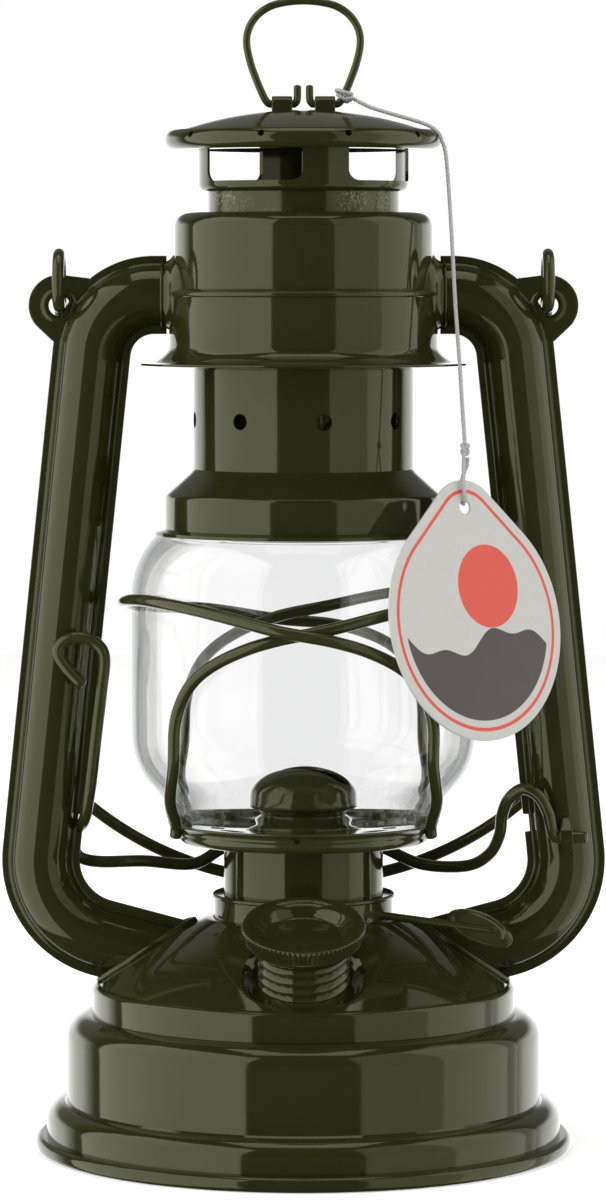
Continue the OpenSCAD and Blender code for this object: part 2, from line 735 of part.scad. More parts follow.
// Section of a front half, grown by t: half round wall with a flange on each side
module half_section(t) {
    difference() {
        union() {
            circle(tube_r + t);
            translate([-flange_w - t, 0]) square([2 * (flange_w + t), tube_sheet + t]);
        }
        circle(tube_r - tube_sheet - t);
        translate([-2 * flange_w, -2 * flange_w]) square([4 * flange_w, 2 * flange_w]);
    }
}

// Flat ear for the bail, outside the tube's round wall
module ear_shape() {
    difference() {
        union() {
            translate(ear_c) circle(ear_r);
            polygon([ear_c + ear_r * [cos(95), sin(95)], ear_top, bend_u + bend_top * [cos(30), sin(30)],
                ear_low, ear_c + ear_r * [cos(-40), sin(-40)]]);
        }
        translate(ear_c) circle(ear_hole_r);
        translate(bend_u) circle(bend_top + tube_r - tube_sheet / 2);
    }
}

module right_front_half() {
    difference() {
        tube_frame() difference() {
            union() {
                tube_bends() half_section(0);
                tube_runs() half_section(step);
                linear_extrude(tube_sheet) ear_shape();
            }
            translate([-pivot_left.x, pivot_left.z, -1]) cylinder(r = notch_r, h = 2);
        }
        dome_solid(sheet + 1.2, 1);
        translate([0, 0, z_tube]) rotate([0, 90, 0]) difference() {
            cylinder(r = 3 * flange_w, h = bend_u.x);
            cylinder(r = flange_w, h = bend_u.x);
        }
    }
}

module right_tube_front() {
    color(enamel) right_front_half();
}

module right_tube_back() {
    color(enamel) mirror([0, 1, 0]) right_front_half();
}

module left_tube_front() {
    color(enamel) mirror([1, 0, 0]) right_front_half();
}

module left_tube_back() {
    color(enamel) mirror([1, 0, 0]) mirror([0, 1, 0]) right_front_half();
}

module socket() {
    bead = 0.45;
    wall = 0.4;
    outer = concat(
        [[socket_r + wall, band_r - 6], [socket_r + wall, band_r]],
        arc([socket_r + wall, band_r + bead], bead, -90, 90, 6),
        arc([socket_r + wall, band_r + 3 * bead], bead, -90, 90, 6)
    );
    inner = [[socket_r, band_r - 6], [socket_r, band_r + 4 * bead]];
    difference() {
        translate([0, 0, z_tube]) rotate([0, 90, 0]) turned(outer, inner);
        chamber_solid(seat);
    }
}

module right_socket() {
    color(enamel) socket();
}

module left_socket() {
    color(enamel) mirror([1, 0, 0]) socket();
}

// Outside of the air chamber, moved in by t: flared drip flange, two bands with a bead, round top edge
function chamber_curve(t) =
    let (z = z_chamber + sheet, round = 3.6)
    concat(
        [for (a = [0:15:90])
            [drip_r - (drip_r - band_r) * sin(a) - t * sin(a), z + flare_h * (1 - cos(a)) - t * cos(a)]],
        [[band_r - t, z_chamber + bead_h]],
        arc([band_r - 0.3 - t, z_chamber + bead_h + 0.8], 0.8, -68, 68, 6),
        [[upper_r - t, z_chamber + bead_h + 2]],
        arc([upper_r - round, z_lid - round], round - t, 0, 90)
    );

module chamber_solid(t) {
    rotate_extrude() polygon(concat([[0, z_chamber]], chamber_curve(-t), [[0, z_lid + t]]));
}

module chamber_shell() {
    color(enamel) difference() {
        turned(
            concat(chamber_curve(0), [[flue_r + gap, z_lid]]),
            concat(chamber_curve(sheet), [[flue_r + gap, z_lid - sheet]])
        );
        translate([-span / 2, 0, z_tube]) rotate([0, 90, 0]) cylinder(r = tube_r - tube_sheet, h = span);
    }
}

module chamber_floor() {
    hole = neck_r + gap;
    color(enamel) turned(
        [[drip_r, z_chamber - sheet], [drip_r, z_chamber]],
        [[hole, z_chamber - sheet], [hole, z_chamber + 3],
            [hole + sheet, z_chamber + 3], [hole + sheet, z_chamber]]
    );
}

module bell() {
    round = 1.6;
    color(enamel) difference() {
        turned(
            concat(
                [[flange_r, z_bell], [flange_r, z_bell + sheet], [bell_r, z_bell + sheet + 0.7]],
                arc([bell_r - round, z_shoulder - round], round, 0, 55, 6),
                [[neck_r + 0.9, z_neck - 0.3], [neck_r, z_neck + 0.8], [neck_r, z_neck_top]]
            ),
            concat(
                [[bell_r - sheet, z_bell]],
                arc([bell_r - round, z_shoulder - round], round - sheet, 0, 55, 6),
                [[neck_r + 0.5, z_neck - 0.9], [neck_r - sheet, z_neck + 0.6], [neck_r - sheet, z_neck_top]]
            )
        );
        for (i = [0:7]) rotate([0, 0, 10.5 + 45 * i]) translate([0, -neck_r + 2, z_neck + 13])
            rotate([90, 0, 0]) cylinder(r = hole_r, h = 4);
    }
}

module flue() {
    foot_out = neck_r - sheet - seat;
    foot_z = z_neck + 2;
    color("#5c5b4a") turned(
        [[foot_out, foot_z], [foot_out, foot_z + sheet], [flue_r, foot_z + sheet + 1], [flue_r, z_crown + 2.6]],
        [[flue_r - sheet, foot_z], [flue_r - sheet, z_crown + 2.6]]
    );
}

// Coil between the neck's top and the chamber's lid
spring_low = z_neck_top + spring_d / 2 + gap;
spring_high = z_lid - sheet - spring_d / 2 - gap;
spring_path = [for (i = [0:8 * spring_turns])
    let (a = 45 * i, z = spring_low + (spring_high - spring_low) * i / (8 * spring_turns))
    [spring_r * cos(a), spring_r * sin(a), z]];
spring_gap = min([for (i = [0:len(spring_path) - 1], j = [i + 4:1:len(spring_path) - 1])
    norm(spring_path[i] - spring_path[j])]) - spring_d;
echo(least_gap_of_the_spring_to_itself = spring_gap);

module chimney_spring() {
    color("#7d7f80") tube_along(spring_path, spring_d, 6);
}

module hood_crown() {
    top = z_hood + 3.6;
    window_h = crown_h - 2.2;
    window_w = 2 * crown_r * sin(45 - asin(leg_w / 2 / crown_r));
    color(enamel) difference() {
        turned(
            [[flue_r + seat, z_crown], [crown_r, z_crown], [crown_r, top]],
            [[flue_r + seat, z_crown + sheet], [crown_r - sheet, z_crown + sheet], [crown_r - sheet, top]]
        );
        for (i = [0:3]) rotate([0, 0, leg_turn + 45 + 90 * i]) translate([0, 0, z_hood - window_h + 0.4])
            rotate([90, 0, 0]) linear_extrude(2 * crown_r) window_shape(window_w, window_h, 2.6);
    }
}

// Outside of the hood, moved in by t: rolled rim and flat dome
function hood_curve(t) = concat(
    [[hood_r - 1 - t, z_hood + t], [hood_r - t, z_hood + 1.4], [hood_r - t, z_hood + 2.6]],
    bulge([hood_r - 1.4, z_hood + 4.5], [0, z_peak], 1.5, t)
);

module hood_cap() {
    lip = crown_r + seat;
    outer = hood_curve(0);
    inner = hood_curve(sheet);
    color(enamel) difference() {
        union() {
            rotate_extrude() polygon(concat([[lip, z_hood]], outer,
                [[0, inner[len(inner) - 1].y]],
                [for (i = [len(inner) - 2:-1:0]) inner[i]], [[lip, z_hood + sheet]]));
            for (s = [-1, 1]) translate([s * (2.75 + knuckle_l / 2), 0, z_hinge]) rotate([0, 90, 0])
                cylinder(r = ring_d / 2 + 1, h = knuckle_l, center = true);
        }
        translate([0, 0, z_hinge]) rotate([0, 90, 0]) cylinder(d = ring_d + 2 * run, h = hood_r, center = true);
        for (i = [0:rim_holes - 1]) rotate([0, 0, -17.5 + 360 * i / rim_holes])
            translate([0, -hood_r + 2.4, z_hood + 2]) rotate([90, 0, 0]) cylinder(r = 0.75, h = 4);
    }
}

module hood_ring() {
    half = [for (p = ring_path) [p.x, 0, z_hinge + p.y]];
    left = [for (i = [len(half) - 2:-1:0]) [-half[i].x, 0, half[i].z]];
    color(dark_wire) tube_along(smooth(concat(half, left), 2), ring_d);
}

module carry_bail() {
    half = concat(
        [for (a = [325:-25:0]) [ear_c.x, eye_r * cos(a), eye_r * sin(a)]],
        [for (i = [1:2]) [ear_c.x, eye_r, -leg_l * i / 3]],
        [for (a = [0:12:corner_a])
            [ear_c.x - corner_r + corner_r * cos(a), eye_r, -leg_l - corner_r * sin(a)]],
        [for (i = [0:8]) let (a = corner_a + (90 - corner_a) * i / 8)
            [bow_r * cos(a), eye_r, -bow_z - bow_r * sin(a)]]
    );
    left = [for (i = [len(half) - 2:-1:0]) [-half[i].x, half[i].y, half[i].z]];
    color(dark_wire) translate([0, 0, eye_z]) rotate([bail_tilt, 0, 0]) tube_along(concat(half, left), wire_d);
}

module string_knot() {
    color("#c9c9c6") translate(knot_p) rotate([0, 25, 0]) rotate_extrude()
        translate([ring_d / 2 + seat + knot_r / 2, 0]) circle(d = knot_r);
}

module tag_string() {
    color("#c9c9c6") tube_along(smooth(string_path, 3), string_d);
}

module tag_knot() {
    color("#c9c9c6") translate(tag_knot_p) sphere(tag_knot_r);
}

module tag_loop() {
    color("#c9c9c6") translate(tag_hole) rotate(tag_turn) tube_along(smooth(loop_path, 3), string_d);
}

// Drop outline round its hanging hole: a disc and a small tip circle over it with their tangents
module hang_tag() {
    disc = [0, tag_hole_d + tag_r - tag_h];
    tip = [0, tag_hole_d - tag_tip_r];
    color("#c6c8c8") translate(tag_hole) rotate(tag_turn) rotate([90, 0, 0])
        linear_extrude(tag_t, center = true)
        difference() {
            hull() {
                translate(disc) circle(tag_r);
                translate(tip) circle(tag_tip_r);
            }
            circle(tag_hole_r);
        }
}

tank_bottom();
tank_body();
tank_deck();
tank_top();
filler_neck();
filler_gasket();
filler_cap();
burner_collar();
burner_drum();
burner_cone();
wick_tube();
wick();
wick_shaft();
globe_plate();
globe();
guard_right_foot();
guard_left_foot();
lift_lever();
lever_strap();
left_tube_front();
left_tube_back();
right_tube_front();
right_tube_back();
left_socket();
right_socket();
chamber_shell();
chamber_floor();
bell();
flue();
chimney_spring();
hood_crown();
hood_cap();
hood_ring();
carry_bail();
string_knot();
tag_string();
tag_knot();
tag_loop();
hang_tag();
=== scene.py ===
import json
import bmesh
import bpy
import numpy as np
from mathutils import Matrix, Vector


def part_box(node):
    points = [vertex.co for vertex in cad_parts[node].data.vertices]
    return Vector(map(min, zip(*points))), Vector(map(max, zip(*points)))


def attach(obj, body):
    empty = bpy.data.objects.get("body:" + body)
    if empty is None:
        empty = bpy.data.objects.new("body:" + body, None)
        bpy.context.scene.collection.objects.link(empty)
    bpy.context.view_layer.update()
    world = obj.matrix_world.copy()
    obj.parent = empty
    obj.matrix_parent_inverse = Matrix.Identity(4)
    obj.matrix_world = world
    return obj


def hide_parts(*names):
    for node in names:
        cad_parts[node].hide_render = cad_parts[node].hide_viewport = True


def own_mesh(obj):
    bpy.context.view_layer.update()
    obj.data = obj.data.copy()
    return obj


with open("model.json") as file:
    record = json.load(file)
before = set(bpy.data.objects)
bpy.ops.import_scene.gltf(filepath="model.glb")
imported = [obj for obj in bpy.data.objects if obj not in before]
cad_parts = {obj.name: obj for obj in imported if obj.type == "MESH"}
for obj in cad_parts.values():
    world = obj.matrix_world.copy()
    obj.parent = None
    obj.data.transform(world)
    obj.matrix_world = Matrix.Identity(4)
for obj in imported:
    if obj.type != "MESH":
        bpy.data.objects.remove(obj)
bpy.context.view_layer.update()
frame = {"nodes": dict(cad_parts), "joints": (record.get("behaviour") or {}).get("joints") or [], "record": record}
nodes = frame["nodes"]
joints = {j["name"]: j for j in frame["joints"]}
nodeBody = {n: body for body, members in frame["record"]["behaviour"]["bodies"].items() for n in members}
scene = bpy.context.scene
print("frame loaded:", len(nodes), "nodes")

mm = 0.001  # routes and profiles below are written in millimetres
axisX, axisY, axisZ = np.eye(3)
mirrorX = np.array([-1.0, 1.0, 1.0])


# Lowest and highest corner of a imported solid, in millimetres
def nodeBox(node):
    low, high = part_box(node)
    return np.array(low) / mm, np.array(high) / mm


def jointPlace(name):
    return np.array(joints[name]["pos_m"]) / mm, np.array(joints[name]["axis"])


def unit(vectors):
    return vectors / np.maximum(np.linalg.norm(vectors, axis=-1, keepdims=True), 1e-12)


def ringAngles(count):
    return np.linspace(0, 2 * np.pi, count, endpoint=False)


# Camera: level with the hood, aimed a little down at the lantern's middle
cameraSetup = {"side": -0.00012, "distance": 1.24, "height": 0.21796, "aim": 0.13656,
               "focalPixels": 5009.3, "imageHeight": 1200.0, "sensor": 36.0, "clip": (0.01, 60.0)}


def addCamera(setup):
    data = bpy.data.cameras.new("lanternCamera")
    data.sensor_fit = "VERTICAL"
    data.sensor_height = setup["sensor"]
    data.lens = setup["sensor"] * setup["focalPixels"] / setup["imageHeight"]
    data.clip_start, data.clip_end = setup["clip"]
    camera = bpy.data.objects.new("lanternCamera", data)
    pitch = np.arctan2(setup["height"] - setup["aim"], setup["distance"])
    camera.location = (setup["side"], -setup["distance"], setup["height"])
    camera.rotation_euler = (np.pi / 2 - pitch, 0.0, 0.0)
    scene.collection.objects.link(camera)
    scene.camera = camera


addCamera(cameraSetup)


# Faces of a grid that closes across its columns, each corner found from its row and column
def gridFaces(rows, columns, wrapRows):
    r, c = np.meshgrid(np.arange(rows if wrapRows else rows - 1), np.arange(columns), indexing="ij")
    below, beside = (r + 1) % rows * columns, (c + 1) % columns
    return np.stack([r * columns + c, r * columns + beside, below + beside, below + c], -1).reshape(-1, 4)


def endCaps(rows, columns):
    return [list(range(columns))[::-1], list(range((rows - 1) * columns, rows * columns))]


# Doubled points joined and collapsed faces dropped; the faces of a closed form turned outwards
def weld(mesh, outwards=False):
    work = bmesh.new()
    work.from_mesh(mesh)
    bmesh.ops.remove_doubles(work, verts=work.verts, dist=2e-6)
    bmesh.ops.dissolve_degenerate(work, edges=work.edges, dist=1e-7)
    if outwards:
        bmesh.ops.recalc_face_normals(work, faces=work.faces)
    work.to_mesh(mesh)
    work.free()
    return mesh


# Shading of turned sheet: a corner takes its face's slope and its own way round the axis, averaged by
# area with the other faces at that point whose slope is near; holes' walls keep their own directions
def turnedShading(mesh, near):
    def read(items, field, size, kind=float):
        values = np.empty(len(items) * size, kind)
        items.foreach_get(field, values)
        return values.reshape(-1, size) if size > 1 else values

    loops = len(mesh.loops)
    vertex = read(mesh.loops, "vertex_index", 1, np.int32)
    face = np.repeat(np.arange(len(mesh.polygons)), read(mesh.polygons, "loop_total", 1, np.int32))
    points, area = read(mesh.vertices, "co", 3), read(mesh.polygons, "area", 1)
    normal, centre = read(mesh.polygons, "normal", 3), read(mesh.polygons, "center", 3)
    out = unit(centre[:, :2])
    slope = np.sum(normal[:, :2] * out, 1)
    aside = normal[:, 0] * out[:, 1] - normal[:, 1] * out[:, 0]
    turned = (np.abs(aside) < 0.1)[face]
    level = slope[face][:, None] * unit(points[vertex][:, :2])
    ideal = np.where(turned[:, None], np.column_stack([level, normal[face][:, 2]]), normal[face])
    ideal = unit(ideal)
    order = np.argsort(vertex, kind="stable")
    count = np.bincount(vertex, minlength=len(points))
    shared = count[vertex[order]]
    first = np.repeat(np.arange(loops), shared)
    start = np.repeat((np.cumsum(count) - count)[vertex[order]], shared)
    step = np.arange(len(first)) - np.repeat(np.cumsum(shared) - shared, shared)
    a, b = order[first], order[start + step]
    weight = area[face[b]] * (np.sum(ideal[a] * ideal[b], 1) > np.cos(np.radians(near)))
    total = np.zeros((loops, 3))
    np.add.at(total, a, ideal[b] * weight[:, None])
    mesh.normals_split_custom_set(unit(total).tolist())


# Finished piece on its node's body: smooth except at sharp edges, or shaded as turned sheet
def finishPiece(name, mesh, material, node, sharp, turned=False, replace=True, slot=None):
    mesh.polygons.foreach_set("use_smooth", np.ones(len(mesh.polygons), bool))
    if turned:
        turnedShading(mesh, sharp)
    else:
        mesh.set_sharp_from_angle(angle=np.radians(sharp))
    mesh.materials.clear()
    mesh.materials.append(material)
    piece = bpy.data.objects.new(name, mesh)
    scene.collection.objects.link(piece)
    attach(piece, nodeBody[node])
    if replace:
        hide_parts(node)
    return piece


# Piece from a grid of points; open ends get caps, and the sign of the enclosed volume turns faces outwards
def addGrid(name, grid, material, node, sharp=38.0, wrapRows=False, capEnds=False, merge=False, **place):
    rows, columns = grid.shape[:2]
    points = grid.reshape(-1, 3) * mm
    faces = gridFaces(rows, columns, wrapRows)
    a, b, c, d = np.moveaxis((points - points.mean(0))[faces], 1, 0)
    volume = np.sum(a * (np.cross(b, c) + np.cross(c, d)))
    faces = faces.tolist() + (endCaps(rows, columns) if capEnds else [])
    if volume < 0:
        faces = [f[::-1] for f in faces]
    mesh = bpy.data.meshes.new(name)
    mesh.from_pydata(points.tolist(), [], faces)
    if merge:
        weld(mesh)
    return finishPiece(name, mesh, material, node, sharp, **place)


# Closed mesh from a grid, poles welded and faces turned outwards
def gridMesh(name, grid, wrapRows):
    rows, columns = grid.shape[:2]
    faces = gridFaces(rows, columns, wrapRows).tolist() + ([] if wrapRows else endCaps(rows, columns))
    mesh = bpy.data.meshes.new(name)
    mesh.from_pydata((grid.reshape(-1, 3) * mm).tolist(), [], faces)
    return weld(mesh, True)


# Mesh with a closed grid's volume taken away
def cutMesh(mesh, cutter):
    whole = bpy.data.objects.new("cutWhole", mesh)
    tool = bpy.data.objects.new("cutTool", gridMesh("cutTool", cutter, False))
    for item in (whole, tool):
        scene.collection.objects.link(item)
    cut = whole.modifiers.new("cut", "BOOLEAN")
    cut.operation, cut.solver, cut.object = "DIFFERENCE", "EXACT", tool
    result = bpy.data.meshes.new_from_object(whole.evaluated_get(bpy.context.evaluated_depsgraph_get()))
    for item in (whole, tool):
        bpy.data.objects.remove(item)
    return result


# Cutter: an outline laid across a direction and drawn out along it from one distance to another
def prism(outline, across, upward, ahead, low, high):
    flat = outline[:, :1] * across + outline[:, 1:] * upward
    return flat[None] + np.array([low, high])[:, None, None] * ahead


# Points at a radius and a height for each angle round the axis
def polarGrid(radius, angle, height):
    return np.stack([radius * np.cos(angle), radius * np.sin(angle), height + 0 * angle], -1)


# Rows of (radius, height) turned round the axis into a grid
def turnedGrid(profile, columns):
    p = np.asarray(profile, float)
    return polarGrid(p[:, :1], ringAngles(columns)[None, :], p[:, 1:2])


# Turned sheet piece from a closed profile, with its holes cut
def addTurned(name, profile, columns, node, material, sharp, cutters=()):
    shell = gridMesh(name, turnedGrid(profile, columns), True)
    for cutter in cutters:
        shell = cutMesh(shell, cutter)
    finishPiece(name, shell, material, node, sharp, turned=True)


# Smooth curve through points: each stretch is the cubic through its ends with the slopes of their neighbours
def smoothPath(points, steps):
    p = np.asarray(points, float)
    padded = np.vstack([p[:1], p, p[-1:]])
    a, b, c, d = (padded[i:len(p) - 1 + i, None, :] for i in range(4))
    t = (np.arange(steps) / steps)[None, :, None]
    bend = t * t * (a - 2.5 * b + 2 * c - d / 2) + t ** 3 * (1.5 * (b - c) + (d - a) / 2)
    curve = b + t * (c - a) / 2 + bend
    return np.vstack([curve.reshape(-1, p.shape[1]), p[-1:]])


# Length along a path at each of its points
def pathRun(path):
    return np.concatenate([[0.0], np.cumsum(np.linalg.norm(np.diff(path, axis=0), axis=1))])


# The same path with points an even step apart
def evenPath(path, step):
    run = pathRun(path)
    at = np.linspace(0.0, run[-1], max(3, int(round(run[-1] / step)) + 1))
    return np.stack([np.interp(at, run, path[:, k]) for k in range(path.shape[1])], 1)


# Directions along a path and two sides square to it, carried on without twist
def pathFrames(path):
    ahead = unit(np.gradient(path, axis=0))
    side = np.empty_like(path)
    side[0] = unit(np.cross(ahead[0], axisZ if abs(ahead[0][2]) < 0.8 else axisX))
    for i in range(1, len(path)):  # one step per ring
        side[i] = unit(side[i - 1] - ahead[i] * np.dot(side[i - 1], ahead[i]))
    return ahead, side, np.cross(ahead, side)


# Rings of points round a line, at a radius for each ring or for each of its points
def sweptGrid(line, side, up, radius, sides):
    angle = ringAngles(sides)[None, :, None]
    ring = np.cos(angle) * side[:, None, :] + np.sin(angle) * up[:, None, :]
    return line[:, None, :] + radius[..., None] * ring


# Wire: circles carried along the path, drawn in to a round tip at each end
def addWire(name, path, diameter, material, node, sides=20):
    ahead, side, up = pathFrames(path)
    tip = np.radians([84.0, 62.0, 38.0, 14.0])
    back = diameter / 3 * (1 - np.sin(tip))[:, None]
    inner = slice(2, len(path) - 2)
    line = np.vstack([path[0] + ahead[0] * back, path[inner], path[-1] - ahead[-1] * back[::-1]])
    shrink = np.cos(tip) ** 0.7
    radius = diameter / 2 * np.concatenate([shrink, np.ones(len(path) - 4), shrink[::-1]])
    side, up = (np.vstack([np.repeat(v[:1], 4, 0), v[inner], np.repeat(v[-1:], 4, 0)]) for v in (side, up))
    grid = sweptGrid(line, side, up, radius[:, None], sides)
    return addGrid(name, grid, material, node, 60.0, capEnds=True)


# Points on an arc in a plane, from one angle to another in degrees
def arcPoints(centre, radius, start, end, count):
    a = np.radians(np.linspace(start, end, count))
    return np.stack([centre[0] + radius * np.cos(a), centre[1] + radius * np.sin(a)], 1)


# Middle and radius of the arc from one point to another that bulges outwards by a height
def bulgeCircle(p, q, height):
    length = np.hypot(*(q - p))
    bend = (length ** 2 / 4 + height ** 2) / (2 * height)
    d = (q - p) / length
    return (p + q) / 2 - (bend - height) * np.array([d[1], -d[0]]), bend


def bulgeArc(p, q, height, count):
    p, q = np.array(p, float), np.array(q, float)
    centre, bend = bulgeCircle(p, q, height)
    start, end = (np.degrees(np.arctan2(*(end - centre)[::-1])) for end in (p, q))
    return arcPoints(centre, bend, start, end, count)


def circlePoints(radius, count):
    a = ringAngles(count)
    return radius * np.stack([np.cos(a), np.sin(a)], 1)


# Outline of a slot with round ends
def slotShape(length, width, count):
    half, r = (length - width) / 2, width / 2
    return np.vstack([arcPoints((half, 0), r, -90, 90, count), arcPoints((-half, 0), r, 90, 270, count)])


def turnMatrix(x, y, z):
    a, b, c = np.radians([x, y, z])
    rx = np.array([[1, 0, 0], [0, np.cos(a), -np.sin(a)], [0, np.sin(a), np.cos(a)]])
    ry = np.array([[np.cos(b), 0, np.sin(b)], [0, 1, 0], [-np.sin(b), 0, np.cos(b)]])
    rz = np.array([[np.cos(c), -np.sin(c), 0], [np.sin(c), np.cos(c), 0], [0, 0, 1]])
    return rz @ ry @ rx


# Distance from the middle out to a closed outline, at even angles round it
def outlineReach(outline, count):
    polar = np.arctan2(outline[:, 1], outline[:, 0])
    order = np.argsort(polar)
    angle = np.linspace(-np.pi, np.pi, count, endpoint=False)
    return angle, np.interp(angle, polar[order], np.hypot(*outline[order].T), period=2 * np.pi)


# Sheet with a hole: rings out over one face, round the rim and back over the other, each face lifted by swell
def sheetRings(hole, reach, half, edge, rings, swell):
    face = hole + edge + np.linspace(0, 1, rings)[:, None] * (reach[None, :] - hole - 2 * edge)
    rim = np.radians([60.0, 25.0])[:, None]
    brow = reach[None, :] - edge * (1 - np.cos(rim))
    lift = np.repeat(half - edge * (1 - np.sin(rim)), len(reach), 1)
    skin = half + swell(face)
    mouth, lip = np.full((1, len(reach)), hole), np.full((1, len(reach)), half - edge)
    radius = np.vstack([mouth, face, brow, brow[::-1], face[::-1], mouth])
    return radius, np.vstack([-lip, -skin, -lift, lift[::-1], skin[::-1], lip])


# Material helpers
def newMaterial(name):
    material = bpy.data.materials.new(name)
    material.use_nodes = True
    return material, material.node_tree, material.node_tree.nodes["Principled BSDF"]


def addNode(tree, kind, inputs=None, **settings):
    node = tree.nodes.new(kind)
    for key, value in settings.items():
        setattr(node, key, value)
    for key, value in (inputs or {}).items():
        setInput(tree, node.inputs[key], value)
    return node


# A socket gets a constant, or a link from another socket
def setInput(tree, socket, value):
    if isinstance(value, (int, float, tuple, list)):
        socket.default_value = value
    else:
        tree.links.new(value, socket)


def setInputs(tree, node, values):
    for key, value in values.items():
        setInput(tree, node.inputs[key], value)


def objectCoords(tree):
    return tree.nodes.new("ShaderNodeTexCoord").outputs["Object"]


def noiseNode(tree, coords, scale, detail=2.0, rough=0.5):
    values = {"Vector": coords, "Scale": scale, "Detail": detail, "Roughness": rough}
    return addNode(tree, "ShaderNodeTexNoise", values).outputs["Fac"]


# One operation carried through all the values in turn
def mathNode(tree, operation, *values, clamp=False):
    total = values[0]
    for value in values[1:] or (0.5,):
        node = addNode(tree, "ShaderNodeMath", {0: total, 1: value}, operation=operation, use_clamp=clamp)
        total = node.outputs[0]
    return total


def rangeNode(tree, value, fromMin, fromMax, toMin, toMax):
    values = {"Value": value, "From Min": fromMin, "From Max": fromMax, "To Min": toMin, "To Max": toMax}
    return addNode(tree, "ShaderNodeMapRange", values).outputs["Result"]


def mixColor(tree, factor, a, b):
    return addNode(tree, "ShaderNodeMix", {6: a, 7: b, 0: factor}, data_type="RGBA").outputs[2]


def addBump(tree, shader, height, strength, distance):
    values = {"Height": height, "Strength": strength, "Distance": distance}
    setInput(tree, shader.inputs["Normal"], addNode(tree, "ShaderNodeBump", values).outputs["Normal"])


# Surface that goes from one shader to another by a factor
def mixSurface(tree, factor, first, second):
    both = addNode(tree, "ShaderNodeMixShader", {0: factor, 1: first.outputs[0], 2: second.outputs[0]})
    tree.links.new(both.outputs[0], tree.nodes["Material Output"].inputs["Surface"])


# Enamel: flowed gloss paint with soft waves, fine orange peel and a faint drift of shade
def buildEnamelGroup():
    group = bpy.data.node_groups.new("flowedEnamel", "ShaderNodeTree")
    sockets = [(n, "INPUT", "Color") for n in ("Light Shade", "Deep Shade")]
    sockets += [(n, "INPUT", "Float") for n in ("Wave", "Peel", "Gloss Low", "Gloss High")]
    sockets += [("Color", "OUTPUT", "Color"), ("Roughness", "OUTPUT", "Float"), ("Height", "OUTPUT", "Float")]
    for name, way, kind in sockets:
        group.interface.new_socket(name, in_out=way, socket_type="NodeSocket" + kind)
    look = group.nodes.new("NodeGroupInput").outputs
    coords = objectCoords(group)
    drift = mathNode(group, "MULTIPLY", noiseNode(group, coords, 38.0, 3.0), 0.8)
    mottle = mathNode(group, "MULTIPLY", noiseNode(group, coords, 420.0, 2.0), 0.2)
    shade = rangeNode(group, mathNode(group, "ADD", drift, mottle), 0.3, 0.7, 0.0, 1.0)
    streak = {0: noiseNode(group, coords, 120.0, 3.0), 2: look["Gloss Low"], 3: look["Gloss High"]}
    waves = mathNode(group, "MULTIPLY", noiseNode(group, coords, 55.0, 1.0), look["Wave"])
    peel = mathNode(group, "MULTIPLY", noiseNode(group, coords, 900.0, 1.0), look["Peel"])
    setInputs(group, group.nodes.new("NodeGroupOutput"), {
        "Color": mixColor(group, shade, look["Deep Shade"], look["Light Shade"]),
        "Roughness": addNode(group, "ShaderNodeMix", streak, data_type="FLOAT").outputs[0],
        "Height": mathNode(group, "ADD", waves, peel)})
    return group


enamelGroup = buildEnamelGroup()
enamelLooks = {
    "sheet": {"Light Shade": (0.0268, 0.0277, 0.0075, 1), "Deep Shade": (0.0215, 0.0228, 0.0058, 1),
              "Wave": 1.0, "Peel": 0.03, "Gloss Low": 0.05, "Gloss High": 0.10},
    # wire look: the same olive paint made lighter, painted light for the brighter look of the round wires, bail,
    # ring, lever and key
    "wire": {"Light Shade": (0.038, 0.039, 0.0125, 1), "Deep Shade": (0.0295, 0.0304, 0.0092, 1),
             "Wave": 0.6, "Peel": 0.05, "Gloss Low": 0.07, "Gloss High": 0.14},
    # burner look: the same olive paint made lighter, painted light for the brightly lit burner dome and globe
    # plate
    "burner": {"Light Shade": (0.046, 0.048, 0.0175, 1), "Deep Shade": (0.036, 0.038, 0.0125, 1),
               "Wave": 1.0, "Peel": 0.03, "Gloss Low": 0.05, "Gloss High": 0.10},
}


def enamelMaterial(name, look):
    material, tree, shader = newMaterial(name)
    skin = addNode(tree, "ShaderNodeGroup", node_tree=enamelGroup)
    setInputs(tree, skin, look)
    addBump(tree, shader, skin.outputs["Height"], 0.12, 0.0004)
    setInputs(tree, shader, {"Base Color": skin.outputs["Color"], "Roughness": skin.outputs["Roughness"],
                             "IOR": 1.5, "Specular Tint": (0.98, 1.0, 0.67, 1)})
    return material


enamel = enamelMaterial("oliveEnamel", enamelLooks["sheet"])
# the wires take the lighter enamel: painted light on the same olive paint
paintedLitWireEnamel = enamelMaterial("oliveWireEnamelPaintedLight", enamelLooks["wire"])
# the burner dome and globe plate take the lighter enamel: painted light on the same olive paint
paintedLitBurnerEnamel = enamelMaterial("oliveBurnerEnamelPaintedLight", enamelLooks["burner"])


# Worn enamel: the sheet enamel rubbed through to bare metal in fine flecks
def wornMaterial(name, look):
    material = enamelMaterial(name, look)
    tree = material.node_tree
    shader = tree.nodes["Principled BSDF"]
    coords = objectCoords(tree)
    patch = rangeNode(tree, noiseNode(tree, coords, 70.0, 3.0), 0.42, 0.6, 0.0, 1.0)
    fleck = rangeNode(tree, noiseNode(tree, coords, 1500.0, 4.0, 0.7), 0.50, 0.60, 0.0, 0.8)
    worn = mathNode(tree, "MULTIPLY", patch, fleck)
    paint = shader.inputs["Base Color"].links[0].from_socket
    bare = (0.34, 0.33, 0.19, 1)
    setInputs(tree, shader, {"Base Color": mixColor(tree, worn, paint, bare),
                             "Roughness": rangeNode(tree, worn, 0.0, 0.8, 0.12, 0.5)})
    return material


wornEnamel = wornMaterial("wornEnamel", enamelLooks["sheet"])
# the rim colour is a painted shade: grey outlines where the glass wall is seen edge-on
glassLook = {"middle": (0.976, 0.976, 0.978, 1), "rim": (0.86, 0.87, 0.88, 1),
             "passed": (0.94, 0.95, 0.945, 1), "ior": 1.42}


